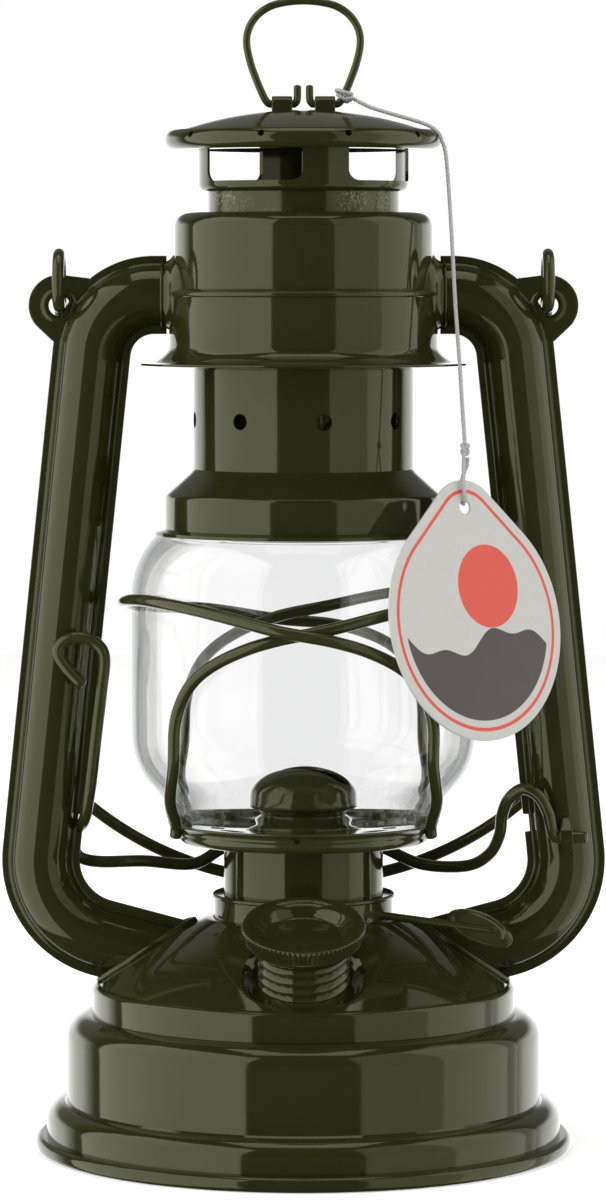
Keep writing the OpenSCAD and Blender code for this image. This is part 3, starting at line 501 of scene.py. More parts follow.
# Clear globe glass with the faint waviness of blown glass; shadow rays and bounced rays pass it
def glassMaterial(look):
    material, tree, shader = newMaterial("clearGlobeGlass")
    addBump(tree, shader, noiseNode(tree, objectCoords(tree), 30.0, 1.0), 0.02, 0.0006)
    facing = tree.nodes.new("ShaderNodeLayerWeight").outputs["Facing"]
    # The colour turns grey where the wall is seen edge-on: painted shade for the glass's dark outlines
    rim = rangeNode(tree, facing, 0.84, 1.0, 0.0, 1.0)
    setInputs(tree, shader, {"Base Color": mixColor(tree, rim, look["middle"], look["rim"]), "Roughness": 0.0,
                             "Transmission Weight": 1.0, "IOR": look["ior"]})
    ray = tree.nodes.new("ShaderNodeLightPath").outputs
    bounced = mathNode(tree, "SUBTRACT", ray["Is Glossy Ray"], ray["Is Transmission Ray"], clamp=True)
    edge = rangeNode(tree, facing, 0.42, 0.88, 0.0, 0.8)  # the wall's edges are nearly as clear as its middle
    passes = mathNode(tree, "MAXIMUM", ray["Is Shadow Ray"], ray["Is Diffuse Ray"], bounced, edge)
    mixSurface(tree, passes, shader, addNode(tree, "ShaderNodeBsdfTransparent", {"Color": look["passed"]}))
    return material


globeGlass = glassMaterial(glassLook)


# Plain inner materials and thread: grain of two shades with its own roughness and relief
def grainMaterial(name, light, deep, scale, roughness, metallic, relief, stretch=(1, 1, 1)):
    material, tree, shader = newMaterial(name)
    mapping = addNode(tree, "ShaderNodeMapping", {"Vector": objectCoords(tree), "Scale": stretch})
    grain = noiseNode(tree, mapping.outputs["Vector"], scale, 4.0, 0.6)
    addBump(tree, shader, grain, relief, 0.0002)
    shade = rangeNode(tree, grain, 0.3, 0.7, 0.0, 1.0)
    setInputs(tree, shader, {"Base Color": mixColor(tree, shade, deep, light), "Metallic": metallic,
                             "Roughness": rangeNode(tree, grain, 0.3, 0.7, *roughness)})
    return material


brass = grainMaterial("satinBrass", (0.62, 0.45, 0.19, 1), (0.48, 0.33, 0.13, 1),
                      300.0, (0.28, 0.42), 1.0, 0.1, (1, 1, 0.15))
cotton = grainMaterial("wovenCotton", (0.72, 0.68, 0.58, 1), (0.52, 0.48, 0.39, 1),
                       1400.0, (0.8, 0.95), 0.0, 0.6, (1, 1, 0.5))
sealRubber = grainMaterial("sealRubber", (0.014, 0.014, 0.013, 1), (0.008, 0.008, 0.008, 1),
                           700.0, (0.75, 0.9), 0.0, 0.2)
sealRubber.node_tree.nodes["Principled BSDF"].inputs["Specular IOR Level"].default_value = 0.15
springSteel = grainMaterial("springSteel", (0.55, 0.55, 0.54, 1), (0.4, 0.4, 0.39, 1),
                            500.0, (0.25, 0.4), 1.0, 0.1)
thread = grainMaterial("greyThread", (0.60, 0.58, 0.58, 1), (0.40, 0.385, 0.385, 1),
                       2500.0, (0.7, 0.9), 0.0, 0.5)


# Tag card: smooth grey board with a thin border line, a low sun and a line of hills printed on its front
tagPrint = {"board": (0.60, 0.595, 0.575, 1), "boardDeep": (0.585, 0.58, 0.56, 1),
            "ink": (0.74, 0.075, 0.045, 1), "dark": (0.060, 0.045, 0.042, 1), "line": (2.3, 3.2),
            "sun": (5.0, -19.5, 10.2), "hills": -33.0, "waves": ((3.0, 0.15), (1.3, 0.41)),
            "margin": 4.9, "blur": 0.06}


def tagMaterial(look):
    material, tree, shader = newMaterial("tagCard")
    across, up, inset, front = (addNode(tree, "ShaderNodeAttribute", attribute_name=n).outputs["Fac"]
                                for n in ("tagAcross", "tagUp", "tagInset", "tagFront"))

    def math(operation, *values):
        return mathNode(tree, operation, *values)

    def above(value, limit):
        return rangeNode(tree, value, limit - look["blur"], limit + look["blur"], 0.0, 1.0)

    def without(mask):
        return math("SUBTRACT", 1.0, mask)

    line = math("MULTIPLY", above(inset, look["line"][0]), without(above(inset, look["line"][1])))
    x, y, radius = look["sun"]
    dx, dy = math("SUBTRACT", across, x), math("SUBTRACT", up, y)
    far = math("SQRT", math("ADD", math("MULTIPLY", dx, dx), math("MULTIPLY", dy, dy)))
    waves = [math("MULTIPLY", math("SINE", math("MULTIPLY", across, pace)), swing)
             for swing, pace in look["waves"]]
    ridge = math("SUBTRACT", up, math("ADD", *waves))
    hills = math("MULTIPLY", without(above(ridge, look["hills"])), above(inset, look["margin"]))
    sun = math("MULTIPLY", without(above(far, radius)), without(hills))
    red = math("MULTIPLY", math("MAXIMUM", line, sun), front)
    coords = objectCoords(tree)
    fibre = noiseNode(tree, coords, 700.0, 3.0, 0.6)
    board = mixColor(tree, rangeNode(tree, fibre, 0.35, 0.65, 0.0, 1.0), look["boardDeep"], look["board"])
    inked = mixColor(tree, red, board, look["ink"])
    sheen = rangeNode(tree, noiseNode(tree, coords, 160.0, 2.0), 0.3, 0.7, 0.34, 0.44)
    printed = mixColor(tree, math("MULTIPLY", hills, front), inked, look["dark"])
    setInputs(tree, shader, {"Base Color": printed, "Roughness": sheen})
    addBump(tree, shader, fibre, 0.06, 0.0001)
    return material


card = tagMaterial(tagPrint)
print("materials made")


# Hang tag's string: three strands twisted, tied to the ring's leg, over the hood's rim and down to the tag
hangString = {"diameter": 1.0, "strands": 3, "lay": 3.4, "tip": 0.35, "sides": 21,
              "core": 0.80, "tipCore": 0.55,
              "route": [(13.1, -0.6, 259.9), (16.6, -1.9, 258.2), (21.8, -4.2, 256.5), (26.8, -6.3, 255),
                        (30.6, -7.8, 253.6), (32.9, -8.8, 251.9), (33.9, -9.4, 249.8), (34.8, -10.3, 246.6),
                        (35.5, -12.4, 238), (36.2, -14.6, 226), (37, -17, 210), (38, -18.9, 196),
                        (38.6, -20.3, 186), (39.2, -21.6, 176.8)]}
ringKnot = {"place": (10.0, 0.0, 261.25), "tilt": 25.0, "wireRadius": 0.95, "turns": 2.0, "pitch": 1.05,
            "back": 1.15, "bulge": 0.75, "slant": 0.8, "lead": [(11.9, -1.5, 260.5), (12.5, -1.0, 260.2)]}
cardKnot = {"place": (39.3, -21.9, 174.8), "wide": 0.36, "tall": 0.45, "deep": 0.5}
hangTag = {"hole": (39.0, -23.2, 160.7), "turn": (-10.0, 1.1, 42.8), "holeRadius": 1.7, "discRadius": 28.9,
           "discDrop": -28.3, "tipRadius": 12.0, "tipDrop": -5.4, "thickness": 0.6, "edge": 0.16,
           "curl": 0.35, "curlRest": 0.3, "columns": 300, "rings": 40,
           "front": [(0.1, -1.7, 11.9), (-0.3, -1.6, 9), (-0.7, -1.4, 5.5), (-0.4, -1.2, 2.1),
                     (-0.1, -0.6, 1.0)],
           "rear": [(-0.1, -0.4, 0.9), (0, 0.1, 0.8), (0.4, 1.2, 2.1), (1.1, 1.2, 5.2), (1.6, 0.9, 7.6),
                    (1.8, -0.5, 9.8), (1.6, -1.6, 11.9)]}


# Twisted string: a round section that swells over each strand, turned once per lay along the path
def addTwisted(name, path, node):
    look = hangString
    ahead, side, up = pathFrames(path)
    run = pathRun(path)[:, None]
    phase = look["strands"] / 2 * (ringAngles(look["sides"])[None, :] - 2 * np.pi * run / look["lay"])
    swell = look["core"] + (1 - look["core"]) * np.abs(np.cos(phase)) ** 0.8
    end = np.clip(np.minimum(run, run[-1] - run) / look["tip"], 0.0, 1.0)
    radius = look["diameter"] / 2 * swell * (look["tipCore"] + (1 - look["tipCore"]) * np.sqrt(end))
    return addGrid(name, sweptGrid(path, side, up, radius, look["sides"]), thread, node, 70.0, capEnds=True)


# Two wraps round the ring's leg, then one wider wrap slanting back across them
def ringKnotPath(look):
    t = np.radians(look["tilt"])
    axis, out = np.array([np.sin(t), 0, np.cos(t)]), np.array([np.cos(t), 0, -np.sin(t)])
    string, turns = hangString["diameter"], look["turns"]
    turn = np.linspace(-0.25, turns, 60)
    back = np.linspace(turns, turns + look["back"], 34)[1:]
    fade = (back - turns) / look["back"]
    angle = 2 * np.pi * np.concatenate([turn, back])[:, None]
    rise = np.concatenate([0 * turn, np.sin(np.pi * np.clip(fade, 0, 1)) ** 0.5])
    radius = look["wireRadius"] + string / 2 + string * look["bulge"] * rise[:, None]
    height = look["pitch"] * (np.concatenate([turn, turns - fade * turns * look["slant"]]) - turns / 2)
    wraps = look["place"] + height[:, None] * axis + radius * (np.cos(angle) * out - np.sin(angle) * axisY)
    lead = smoothPath([wraps[-1], *look["lead"], hangString["route"][0]], 8)[1:]
    return evenPath(np.vstack([wraps, lead]), 0.22)


# Small overhand knot: the trefoil curve, drawn taller than wide
def cardKnotPath(look):
    t = np.linspace(0, 2 * np.pi * 0.985, 120)
    across, up = np.sin(t) + 2 * np.sin(2 * t), np.cos(t) - 2 * np.cos(2 * t)
    shape = np.stack([look["wide"] * across, look["deep"] * np.sin(3 * t), look["tall"] * up], 1)
    return np.array(look["place"]) + shape @ turnMatrix(0, 0, hangTag["turn"][2]).T


# Card: rings from the hanging hole out to the drop outline, over its round rim and back along the rear face
def addTag(look):
    c1, r1, c2, r2 = look["discDrop"], look["discRadius"], look["tipDrop"], look["tipRadius"]
    lean = np.degrees(np.arcsin((r1 - r2) / (c2 - c1)))  # slope of the tangents between disc and tip
    outline = np.vstack([arcPoints((0, c1), r1, 180 - lean, 360 + lean, 900),
                         arcPoints((0, c2), r2, lean, 180 - lean, 500)])
    outline = evenPath(np.vstack([outline, outline[:1]]), 0.08)[:-1]
    angle, reach = outlineReach(outline, look["columns"])
    radius, depth = sheetRings(look["holeRadius"], reach, look["thickness"] / 2, look["edge"], look["rings"],
                               lambda face: 0 * face)
    x, z = radius * np.cos(angle), radius * np.sin(angle)
    y = depth + look["curl"] * ((x / look["discRadius"]) ** 2 - look["curlRest"])
    grid = np.array(look["hole"]) + np.stack([x, y, z], -1) @ tagTurn
    piece = addGrid("hangTagCard", grid, card, "hang_tag", 50.0, wrapRows=True)
    flat = np.stack([x, z], -1).reshape(-1, 2)
    inset = np.concatenate([np.sqrt(((part[:, None, :] - outline[None]) ** 2).sum(-1).min(1))
                            for part in np.array_split(flat, 60)])
    for title, values in (("tagAcross", x), ("tagUp", z), ("tagInset", inset), ("tagFront", depth < 0)):
        attribute = piece.data.attributes.new(title, "FLOAT", "POINT")
        attribute.data.foreach_set("value", values.reshape(-1).astype(np.float32))
    return piece


# The string runs on through its knot to the tag's hole, and a second strand comes back up behind the card
tagTurn = turnMatrix(*hangTag["turn"]).T
frontStrand = np.array(hangTag["hole"]) + np.array(hangTag["front"]) @ tagTurn
rearStrand = np.array(hangTag["hole"]) + np.array(hangTag["rear"]) @ tagTurn
stringRoute = np.vstack([hangString["route"], [cardKnot["place"]], frontStrand])
stringPath = evenPath(smoothPath(stringRoute, 16), 0.28)
stringPiece = addTwisted("hangString", stringPath, "tag_string")
addTwisted("ringKnot", ringKnotPath(ringKnot), "string_knot")
cardKnotPiece = addTwisted("cardKnot", cardKnotPath(cardKnot), "tag_knot")
loopPiece = addTwisted("tagLoop", evenPath(smoothPath(rearStrand, 12), 0.25), "tag_loop")
tagPiece = addTag(hangTag)


# Guard wires: angle from the foot's side, radius and height over the plate, round the front and back behind
plateLow, plateHigh = nodeBox("globe_plate")
globeLow, globeHigh = nodeBox("globe")
guardWire = {"diameter": 3.0, "gap": 0.3, "seat": 0.1, "drop": 4.5, "dropFrom": 58, "dropOver": 50,
             "crossing": (45, 135), "rearShift": 12, "foot": [(21, 0.6), (22, 4)],
             "route": [(32, -5.8, 11), (42.5, -1.5, 20.5), (45.5, 0, 31), (50.5, 0.1, 39), (58.5, 0.2, 44.5),
                       (70, 0.2, 49), (82, 0.2, 52), (98, 0.2, 54.5), (122, 0.2, 58.5), (150, 0.4, 60.2),
                       (180, 0.6, 60.6)]}


# Where the two wires cross, one passes outside the other by a step and its rear run drops below
def guardPath(look, step, drop):
    inner = globeHigh[0] + look["diameter"] / 2 + look["gap"]
    footRadius = plateHigh[0] + look["diameter"] / 2 + look["seat"]
    degrees, radius, height = np.array([(a, footRadius, h) for a, h in look["foot"]]
                                       + [(a, inner + r, h) for a, r, h in look["route"]], float).T
    start, stop = look["crossing"]
    outside = step * ((degrees > start) & (degrees < stop))
    a = np.radians(degrees)
    z = plateLow[2] + height
    near = radius + outside * np.sin(a) ** 6
    far = radius + outside * np.sin(a - np.radians(look["rearShift"])) ** 4
    front = np.stack([near * np.cos(a), -near * np.sin(a), z - (degrees == 180) * drop / 2], 1)
    below = drop * np.clip((degrees - look["dropFrom"]) / look["dropOver"], 0, 1)
    rear = np.stack([far * np.cos(a), far * np.sin(a), z - below], 1)[-2::-1]
    return evenPath(smoothPath(np.vstack([front, rear]), 16), 0.9)


guardStep = guardWire["diameter"] + guardWire["gap"] + guardWire["seat"]
rightGuard = guardPath(guardWire, guardStep, guardWire["drop"])
leftGuard = guardPath(guardWire, 0.0, 0.0) * mirrorX
addWire("guardRightFoot", rightGuard, guardWire["diameter"], paintedLitWireEnamel, "guard_right_foot")
addWire("guardLeftFoot", leftGuard, guardWire["diameter"], paintedLitWireEnamel, "guard_left_foot")

# Lift lever: thumb loop, left pivot, run behind the burner under the plate, hump and pivot pin on the right
rightPivot, leverAxis = jointPlace("lever_swing")
leverWire = {"diameter": 3.0, "leftPivot": (-55.2282, 0.0, 80.4), "rearDepth": 24.6, "rearGap": 0.3,
             "pin": (-2.6, 0.6, 5.4), "rearBow": 0.0095, "rearFall": 0.0098, "rearLevel": 45, "rearLow": 7.2,
             "thumb": [(1.1, -10, 35.6), (-3.2, -10, 40.3), (-5.2, -10, 44), (-3.6, -10, 46.6),
                       (0.2, -10, 47.6), (4.1, -10, 46.2), (6.2, -10, 42.6), (5.4, -10, 34),
                       (4.2, -10, 24), (3.1, -9.6, 14.4),
                       (2.1, -7.6, 7.4), (1.0, -4.2, 2.2), (0, 0, 0), (-1.4, 3.8, -1.7), (-2.2, 5.8, -5),
                       (-0.9, 6.8, -8.6), (4.2, 7.6, -10), (15.2, 10.6, -10.2)],
             "rear": [-28, -20.5, -13, -7, 0, 7, 13, 20.5, 30],
             "hump": [(-24, 15.4, -9), (-18.6, 10, -5.4), (-16.2, 6.4, -0.2), (-15.6, 4, 5.2),
                      (-14, 1.6, 9.4), (-10.6, -0.2, 12), (-6.8, -1, 10.2), (-4.5, -1, 6), (-3.7, -0.6, 2.6)]}


def leverPath(look):
    x = np.array(look["rear"], float)
    top = plateLow[2] - look["rearGap"] - look["diameter"] / 2
    fall = np.clip(look["rearFall"] * (x * x - look["rearLevel"]), 0, look["rearLow"])
    rear = np.stack([x, look["rearDepth"] - look["rearBow"] * x * x, top - fall], 1)
    pin = rightPivot + np.array(look["pin"])[:, None] * leverAxis
    points = np.vstack([np.array(look["leftPivot"]) + look["thumb"], rear, rightPivot + look["hump"], pin])
    return evenPath(smoothPath(points, 12), 0.8)


addWire("liftLever", leverPath(leverWire), leverWire["diameter"], paintedLitWireEnamel, "lift_lever")

# Hood ring: from its inner ends through the knuckles up round the loop
ringHinge, _ = jointPlace("hood_ring_swing")
hoodRing = {"diameter": 1.9,
            "half": [(1.5, 4.7), (1.5, 2.2), (1.6, 0.9), (2.1, 0.15), (2.7, 0), (5.3, 0), (8, 0), (8.6, 0.15),
                     (9.3, 0.9), (10, 2.2), (11.4, 5.4), (13.1, 10.2), (14, 15), (13.4, 18.6), (11.3, 21.8),
                     (8, 24), (4, 25), (0, 25.3)]}
ringHalf = np.array([(x, 0.0, ringHinge[2] + z) for x, z in hoodRing["half"]])
ringLine = np.vstack([ringHalf, ringHalf[-2::-1] * mirrorX])
addWire("hoodRing", evenPath(smoothPath(ringLine, 10), 0.45), hoodRing["diameter"], paintedLitWireEnamel, "hood_ring")

# Carry bail: an eye through each ear, straight legs, round corners and a hand bow, hanging behind the lantern
bailPivot, _ = jointPlace("bail_swing")
carryBail = {"diameter": 3.0, "earX": 60.35, "eye": 6.5, "eyeTurn": 325, "slip": 1.5, "slipFrom": 280,
             "leg": 122.46, "corner": 14.0, "cornerTurn": 48.5, "bow": 84.0, "bowDrop": 70.0, "tilt": 6.7}


def bailPath(look):
    a = np.linspace(look["eyeTurn"], 0, 60)
    past = (a - look["slipFrom"]) / (look["eyeTurn"] - look["slipFrom"])
    slip = look["slip"] * np.clip(past, 0, 1) ** 2  # the eye's end lies beside its leg
    ear, radius = look["earX"], look["eye"]
    eye = np.stack([ear + slip, radius * np.cos(np.radians(a)), radius * np.sin(np.radians(a))], 1)
    drop = np.linspace(0, -look["leg"], 40)[1:-1]
    corner = arcPoints((ear - look["corner"], -look["leg"]), look["corner"], 0, -look["cornerTurn"], 24)
    bow = arcPoints((0, -look["bowDrop"]), look["bow"], -look["cornerTurn"], -90, 60)[1:]
    down = np.vstack([np.stack([ear + 0 * drop, drop], 1), corner, bow])
    half = np.vstack([eye, np.stack([down[:, 0], radius + 0 * down[:, 0], down[:, 1]], 1)])
    whole = np.vstack([half, half[-2::-1] * mirrorX])
    return bailPivot + evenPath(whole, 1.0) @ turnMatrix(look["tilt"], 0, 0).T


addWire("carryBail", bailPath(carryBail), carryBail["diameter"], paintedLitWireEnamel, "carry_bail")

# Chimney spring: an open coil inside the air chamber, which shortens upwards as the chimney is pulled up
chimneySpring = {"diameter": 1.4, "turns": 5, "stepsPerTurn": 40, "sides": 12}
springLow, springHigh = nodeBox("chimney_spring")
springHalf = chimneySpring["diameter"] / 2
springSteps = chimneySpring["stepsPerTurn"] * chimneySpring["turns"]
springTurn = np.linspace(0, 2 * np.pi * chimneySpring["turns"], springSteps)
springRadius = springHigh[0] - springHalf
springRise = np.linspace(springLow[2] + springHalf, springHigh[2] - springHalf, len(springTurn))
springLine = np.stack([springRadius * np.cos(springTurn), springRadius * np.sin(springTurn), springRise], 1)
springPiece = addWire("chimneySpring", springLine, chimneySpring["diameter"], springSteel, "chimney_spring",
                      chimneySpring["sides"])
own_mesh(springPiece)
print("wires made")


# Side tubes: a half-round wall with a seam flange on each side, carried down the two bends and into the dome
sideTube = {"topBend": (36.95, 196.6, 15.5), "lowBend": (44.95, 71.9, 20.4), "slope": 15.0, "reach": 22.0,
            "stub": 33.8, "radius": 7.4, "flange": 9.65, "sheet": 0.6, "fillet": 1.1, "edge": 0.22,
            "lipBack": 0.1, "notch": (82.0, 2.1, 2.25), "entrySteps": 16}
tubeEnd = np.radians(sideTube["slope"] - 90)
tubeCentre = sideTube["topBend"][1] + sideTube["topBend"][2]


def tubeRoute(look):
    ux, uz, ur = look["topBend"]
    lx, lz, lr = look["lowBend"]
    away = np.array([ux - lx, uz - lz])
    lean = np.degrees(np.arctan2(-away[0], away[1]) + np.arcsin((lr - ur) / np.hypot(*away)))
    end = look["slope"] - 90
    upper, lower = arcPoints((ux, uz), ur, 90, lean, 48), arcPoints((lx, lz), lr, lean, end, 56)
    where, flat, fade = look["notch"]
    corners = np.array([where - fade, where - flat, where + flat, where + fade])
    corners = (corners - upper[-1][1]) / (lower[0][1] - upper[-1][1])
    share = np.sort(np.concatenate([np.linspace(0, 1, 60)[1:-1], corners]))
    run = upper[-1] + share[:, None] * (lower[0] - upper[-1])
    steps = np.linspace(0, look["reach"], look["entrySteps"])[1:, None]
    entry = lower[-1] + steps * np.array([np.sin(tubeEnd), -np.cos(tubeEnd)])
    line = np.vstack([[(look["stub"], uz + ur)], upper, run, lower, entry])
    turn = np.concatenate([[90], np.linspace(90, lean, 48), np.full(len(run), lean),
                           np.linspace(lean, end, 56), np.full(len(entry), end)])
    return line, np.stack([np.cos(np.radians(turn)), np.sin(np.radians(turn))], 1)


# Half section from the outer flange's edge round the wall to the inner one: u off the bend, v off the seam
def tubeSection(look, base):
    r, f, t, w, e = look["radius"], look["fillet"], look["sheet"], look["flange"], look["edge"]
    meet = np.degrees(np.arctan2(t + f, base))
    lip = np.vstack([[(w - look["lipBack"], 0.0)], arcPoints((w - e, t - e), e, 0, 90, 5)])
    hollow = arcPoints((base, t + f), f, 270, 180 + meet, 7)
    half = np.vstack([lip, hollow, arcPoints((0, 0), r, meet, 90, 24)[1:]])
    return np.vstack([half, half[-2::-1] * np.array([-1.0, 1.0])])


def addTubeHalf(name, node, side, face):
    look = sideTube
    line, out = tubeRoute(look)
    base = np.sqrt((look["radius"] + look["fillet"]) ** 2 - (look["sheet"] + look["fillet"]) ** 2)
    section = tubeSection(look, base)
    u, v = np.repeat(section[None, :, 0], len(line), 0), np.repeat(face * section[None, :, 1], len(line), 0)
    where, flat, fade = look["notch"]
    straight = (out[:, 1] < 0.3) & (out[:, 1] > 0)
    cut = np.clip((fade - np.abs(line[:, 1] - where)) / (fade - flat), 0, 1) * straight
    u = np.where(u < -base, -base - (-u - base) * (1 - cut[:, None]), u)
    grid = np.stack([side * (line[:, :1] + u * out[:, :1]), v, line[:, 1:] + u * out[:, 1:]], -1)
    addGrid(name, grid, enamel, node, 34.0, capEnds=True)


for side, word in ((-1, "left"), (1, "right")):
    addTubeHalf(word + "TubeFront", word + "_tube_front", side, -1)
    addTubeHalf(word + "TubeBack", word + "_tube_back", side, 1)

# Ears: flat web from the bail's hole to a round outline that runs in under the tube's wall, with a pressed
# rim; the corners are (distance past the flange, angle) round the upper bend
tubeEar = {"centre": (60.35, 209.5), "radius": 7.6, "hole": 2.6, "thickness": 1.36, "round": 0.3, "rim": 0.45,
           "rimOut": 0.9, "rimWidth": 0.75, "columns": 120, "rings": 18,
           "corners": [(0.1, 51), (-2.6, 48), (-sideTube["flange"], 30), (-2.6, 12), (0.1, 9)]}


def addEar(name, node, side):
    look = tubeEar
    ux, uz, ur = sideTube["topBend"]
    c = np.array(look["centre"])
    past, turn = np.array(look["corners"]).T
    r, a = ur + sideTube["flange"] + past, np.radians(turn)
    corners = np.stack([ux + r * np.cos(a), uz + r * np.sin(a)], 1)
    outline = np.vstack([arcPoints(c, look["radius"], -40, 95, 80), corners])
    outline = evenPath(np.vstack([outline, outline[:1]]), 0.1)[:-1] - c
    angle, reach = outlineReach(outline, look["columns"])
    radius, depth = sheetRings(
        look["hole"], reach, look["thickness"] / 2, look["round"], look["rings"],
        lambda face: look["rim"] * np.exp(-((face - look["hole"] - look["rimOut"]) / look["rimWidth"]) ** 2))
    grid = np.stack([side * (c[0] + radius * np.cos(angle)), depth, c[1] + radius * np.sin(angle)], -1)
    addGrid(name, grid, enamel, node, 45.0, wrapRows=True, replace=False)


addEar("leftEar", "left_tube_front", -1)
addEar("rightEar", "right_tube_front", 1)

# Dome surface: the arc from the seam ring up to the burner's collar, as height over radius
domeArc = {"low": (50.8, 41.2), "high": (24.2, 57.6), "bulge": 1.6}


def domeHeight(radius):
    p, q = np.array(domeArc["low"]), np.array(domeArc["high"])
    centre, bend = bulgeCircle(p, q, domeArc["bulge"])
    return centre[1] + np.sqrt(bend ** 2 - (np.clip(radius, q[0], p[0]) - centre[0]) ** 2)


# Entry lips: a bead laid round each tube where its outline, followed along the tube, meets the dome
entryLip = {"bead": 1.9, "clear": 0.55, "sink": 0.35, "columns": 160, "sides": 14, "search": (-6.0, 34.0)}


def lipPath(look, side):
    line, _ = tubeRoute(sideTube)
    x, z = line[-sideTube["entrySteps"]]
    ahead = np.array([np.sin(tubeEnd), 0.0, -np.cos(tubeEnd)])
    normal = np.array([np.cos(tubeEnd), 0.0, np.sin(tubeEnd)])
    a = ringAngles(look["columns"])[:, None]
    wider = (sideTube["flange"] - sideTube["radius"]) * np.abs(np.cos(a)) ** 10
    grow = sideTube["radius"] + look["clear"] + wider
    ray = np.array([x, 0.0, z]) + grow * (np.cos(a) * normal - np.sin(a) * axisY)
    low, high = (np.full(look["columns"], limit) for limit in look["search"])
    for _ in range(40):  # halve the span until the ray meets the dome
        middle = (low + high) / 2
        p = ray + middle[:, None] * ahead
        over = p[:, 2] > domeHeight(np.hypot(p[:, 0], p[:, 1]))
        low, high = np.where(over, middle, low), np.where(over, high, middle)
    path = ray + (low - look["sink"])[:, None] * ahead
    return path * np.array([side, 1.0, 1.0])


def addLip(name, side):
    path = lipPath(entryLip, side)
    closed = np.vstack([path[-1:], path, path[:1]])
    ahead = unit(np.gradient(closed, axis=0)[1:-1])
    out = path - path.mean(0)
    out = unit(out - ahead * np.sum(out * ahead, 1, keepdims=True))
    radius = np.full((len(path), 1), entryLip["bead"] / 2)
    grid = sweptGrid(path, out, np.cross(ahead, out), radius, entryLip["sides"])
    addGrid(name, grid, enamel, "tank_top", 70.0, wrapRows=True, replace=False)


addLip("leftEntryLip", -1)
addLip("rightEntryLip", 1)
print("tubes made")

# Filler: neck with a rolled thread and a dished cap with a knurled, tapering side, on the tilted filler axis
fillerFoot, fillerAxis = jointPlace("cap_turn")
fillerUp = unit(fillerAxis)
fillerNeck = {"radius": 10.4, "low": -8.5, "high": 10.6, "wall": 0.8, "pitch": 2.5, "ridge": 0.75,
              "threadLow": 0.2, "threadHigh": 10.0, "runOut": 0.7, "bevel": 0.2, "skirt": (-0.4, -0.3),
              "topEdge": 0.1, "crest": 0.6, "columns": 160, "rows": 120}
fillerCap = {"base": 11.7, "height": 4.4, "radius": 15.0, "footRadius": 14.0, "dishDepth": 3.2, "floor": 9.2,
             "teeth": 78, "toothDepth": 0.42, "toothSteps": 8, "plugRadius": 9.3, "plug": 4.6, "wall": 0.8,
             "edge": 0.5, "roof": 0.9, "dishFloor": [(0, 0.15), (4, 0.12)],
             "dishBend": [(-1.2, 0), (0, 0.15), (1.2, 1.1)], "dishRim": [(-3.2, -1), (-1.6, -0.2), (-0.8, 0)],
             "wallTop": 0.7, "plugRoot": (0.4, 0.3), "fade": (0.8, 0.3)}


def onFiller(grid):
    x, y, z = np.split(grid, 3, -1)
    return fillerFoot + x * axisX + y * np.cross(fillerUp, axisX) + z * fillerUp


# The thread has a round crest with a narrow root, and climbs one pitch each turn
def addNeck(look):
    angle = ringAngles(look["columns"])[None, :]
    below, start = look["skirt"]
    threaded = np.linspace(start, look["high"] - look["topEdge"], look["rows"])
    z = np.concatenate([[look["low"], below], threaded])[:, None]
    phase = (z - look["threadLow"]) / look["pitch"] - angle / (2 * np.pi)
    ends = (z - look["threadLow"], look["threadHigh"] - z)
    starts, stops = (np.clip(d / look["runOut"], 0, 1) for d in ends)
    crest = np.abs(np.sin(np.pi * phase)) ** look["crest"]
    outer = look["radius"] + look["ridge"] * starts * stops * crest
    bore = look["radius"] - look["wall"]
    inside = np.array([(look["radius"] - look["bevel"], look["high"]), (bore, look["high"]),
                       (bore, look["low"])])
    radius = np.vstack([outer, inside[:, :1] + 0 * angle])
    grid = polarGrid(radius, angle, np.vstack([z, inside[:, 1:]]))
    addGrid("threadedNeck", onFiller(grid), enamel, "filler_neck", 50.0, wrapRows=True)


# The cap's teeth rise and fall in straight flanks, and fade out over its round edges
def addCap(look):
    low, top, r = look["base"], look["base"] + look["height"], look["radius"]
    flat, e = look["floor"], look["edge"]
    deep, plug, bore = top - look["dishDepth"], look["plugRadius"], look["plugRadius"] - look["wall"]
    corners = (("dishFloor", (0.0, deep)), ("dishBend", (flat, deep)), ("dishRim", (r, top)))
    dish = smoothPath(np.vstack([np.array(corner) + look[key] for key, corner in corners]), 6)
    rim = arcPoints((r - e, top - e), e, 85, 5, 8)
    wall = np.linspace((r, top - look["wallTop"]), (look["footRadius"], low + e), 16)
    foot = arcPoints((look["footRadius"] - e, low + e), e, -10, -90, 6)
    rootOut, rootDown = look["plugRoot"]
    under = np.array([(plug + rootOut, low), (plug, low - rootDown), (plug, low - look["plug"]),
                      (bore, low - look["plug"]), (bore, deep - look["roof"]), (0.0, deep - look["roof"])])
    profile = np.vstack([dish, rim, wall, foot, under])
    rimFade, footFade = look["fade"]
    weight = np.concatenate([np.zeros(len(dish)), np.linspace(0, rimFade, len(rim)), np.ones(len(wall)),
                             np.linspace(1, footFade, len(foot)), np.zeros(len(under))])[:, None]
    angle = ringAngles(look["teeth"] * look["toothSteps"])[None, :]
    gullet = np.abs(2 * np.mod(angle * look["teeth"] / (2 * np.pi), 1.0) - 1)
    radius = profile[:, :1] - weight * look["toothDepth"] * gullet
    grid = polarGrid(radius, angle, profile[:, 1:])
    addGrid("knurledCap", onFiller(grid), enamel, "filler_cap", 32.0, merge=True)


addNeck(fillerNeck)
addCap(fillerCap)
print("filler made")

# Globe: foot, slanted lower shoulder, barrel and upper shoulder, drawn smooth, with fire-polished edges
globeShape = {"wall": 1.8, "low": 18.0, "lowRise": 24.5, "lowTurn": -47, "high": 21.0, "highTurn": 45.0,
              "footInset": 1.4, "footHeight": 4.2, "blur": 5.0, "blurReach": 16, "polish": 0.8,
              "columns": 224}


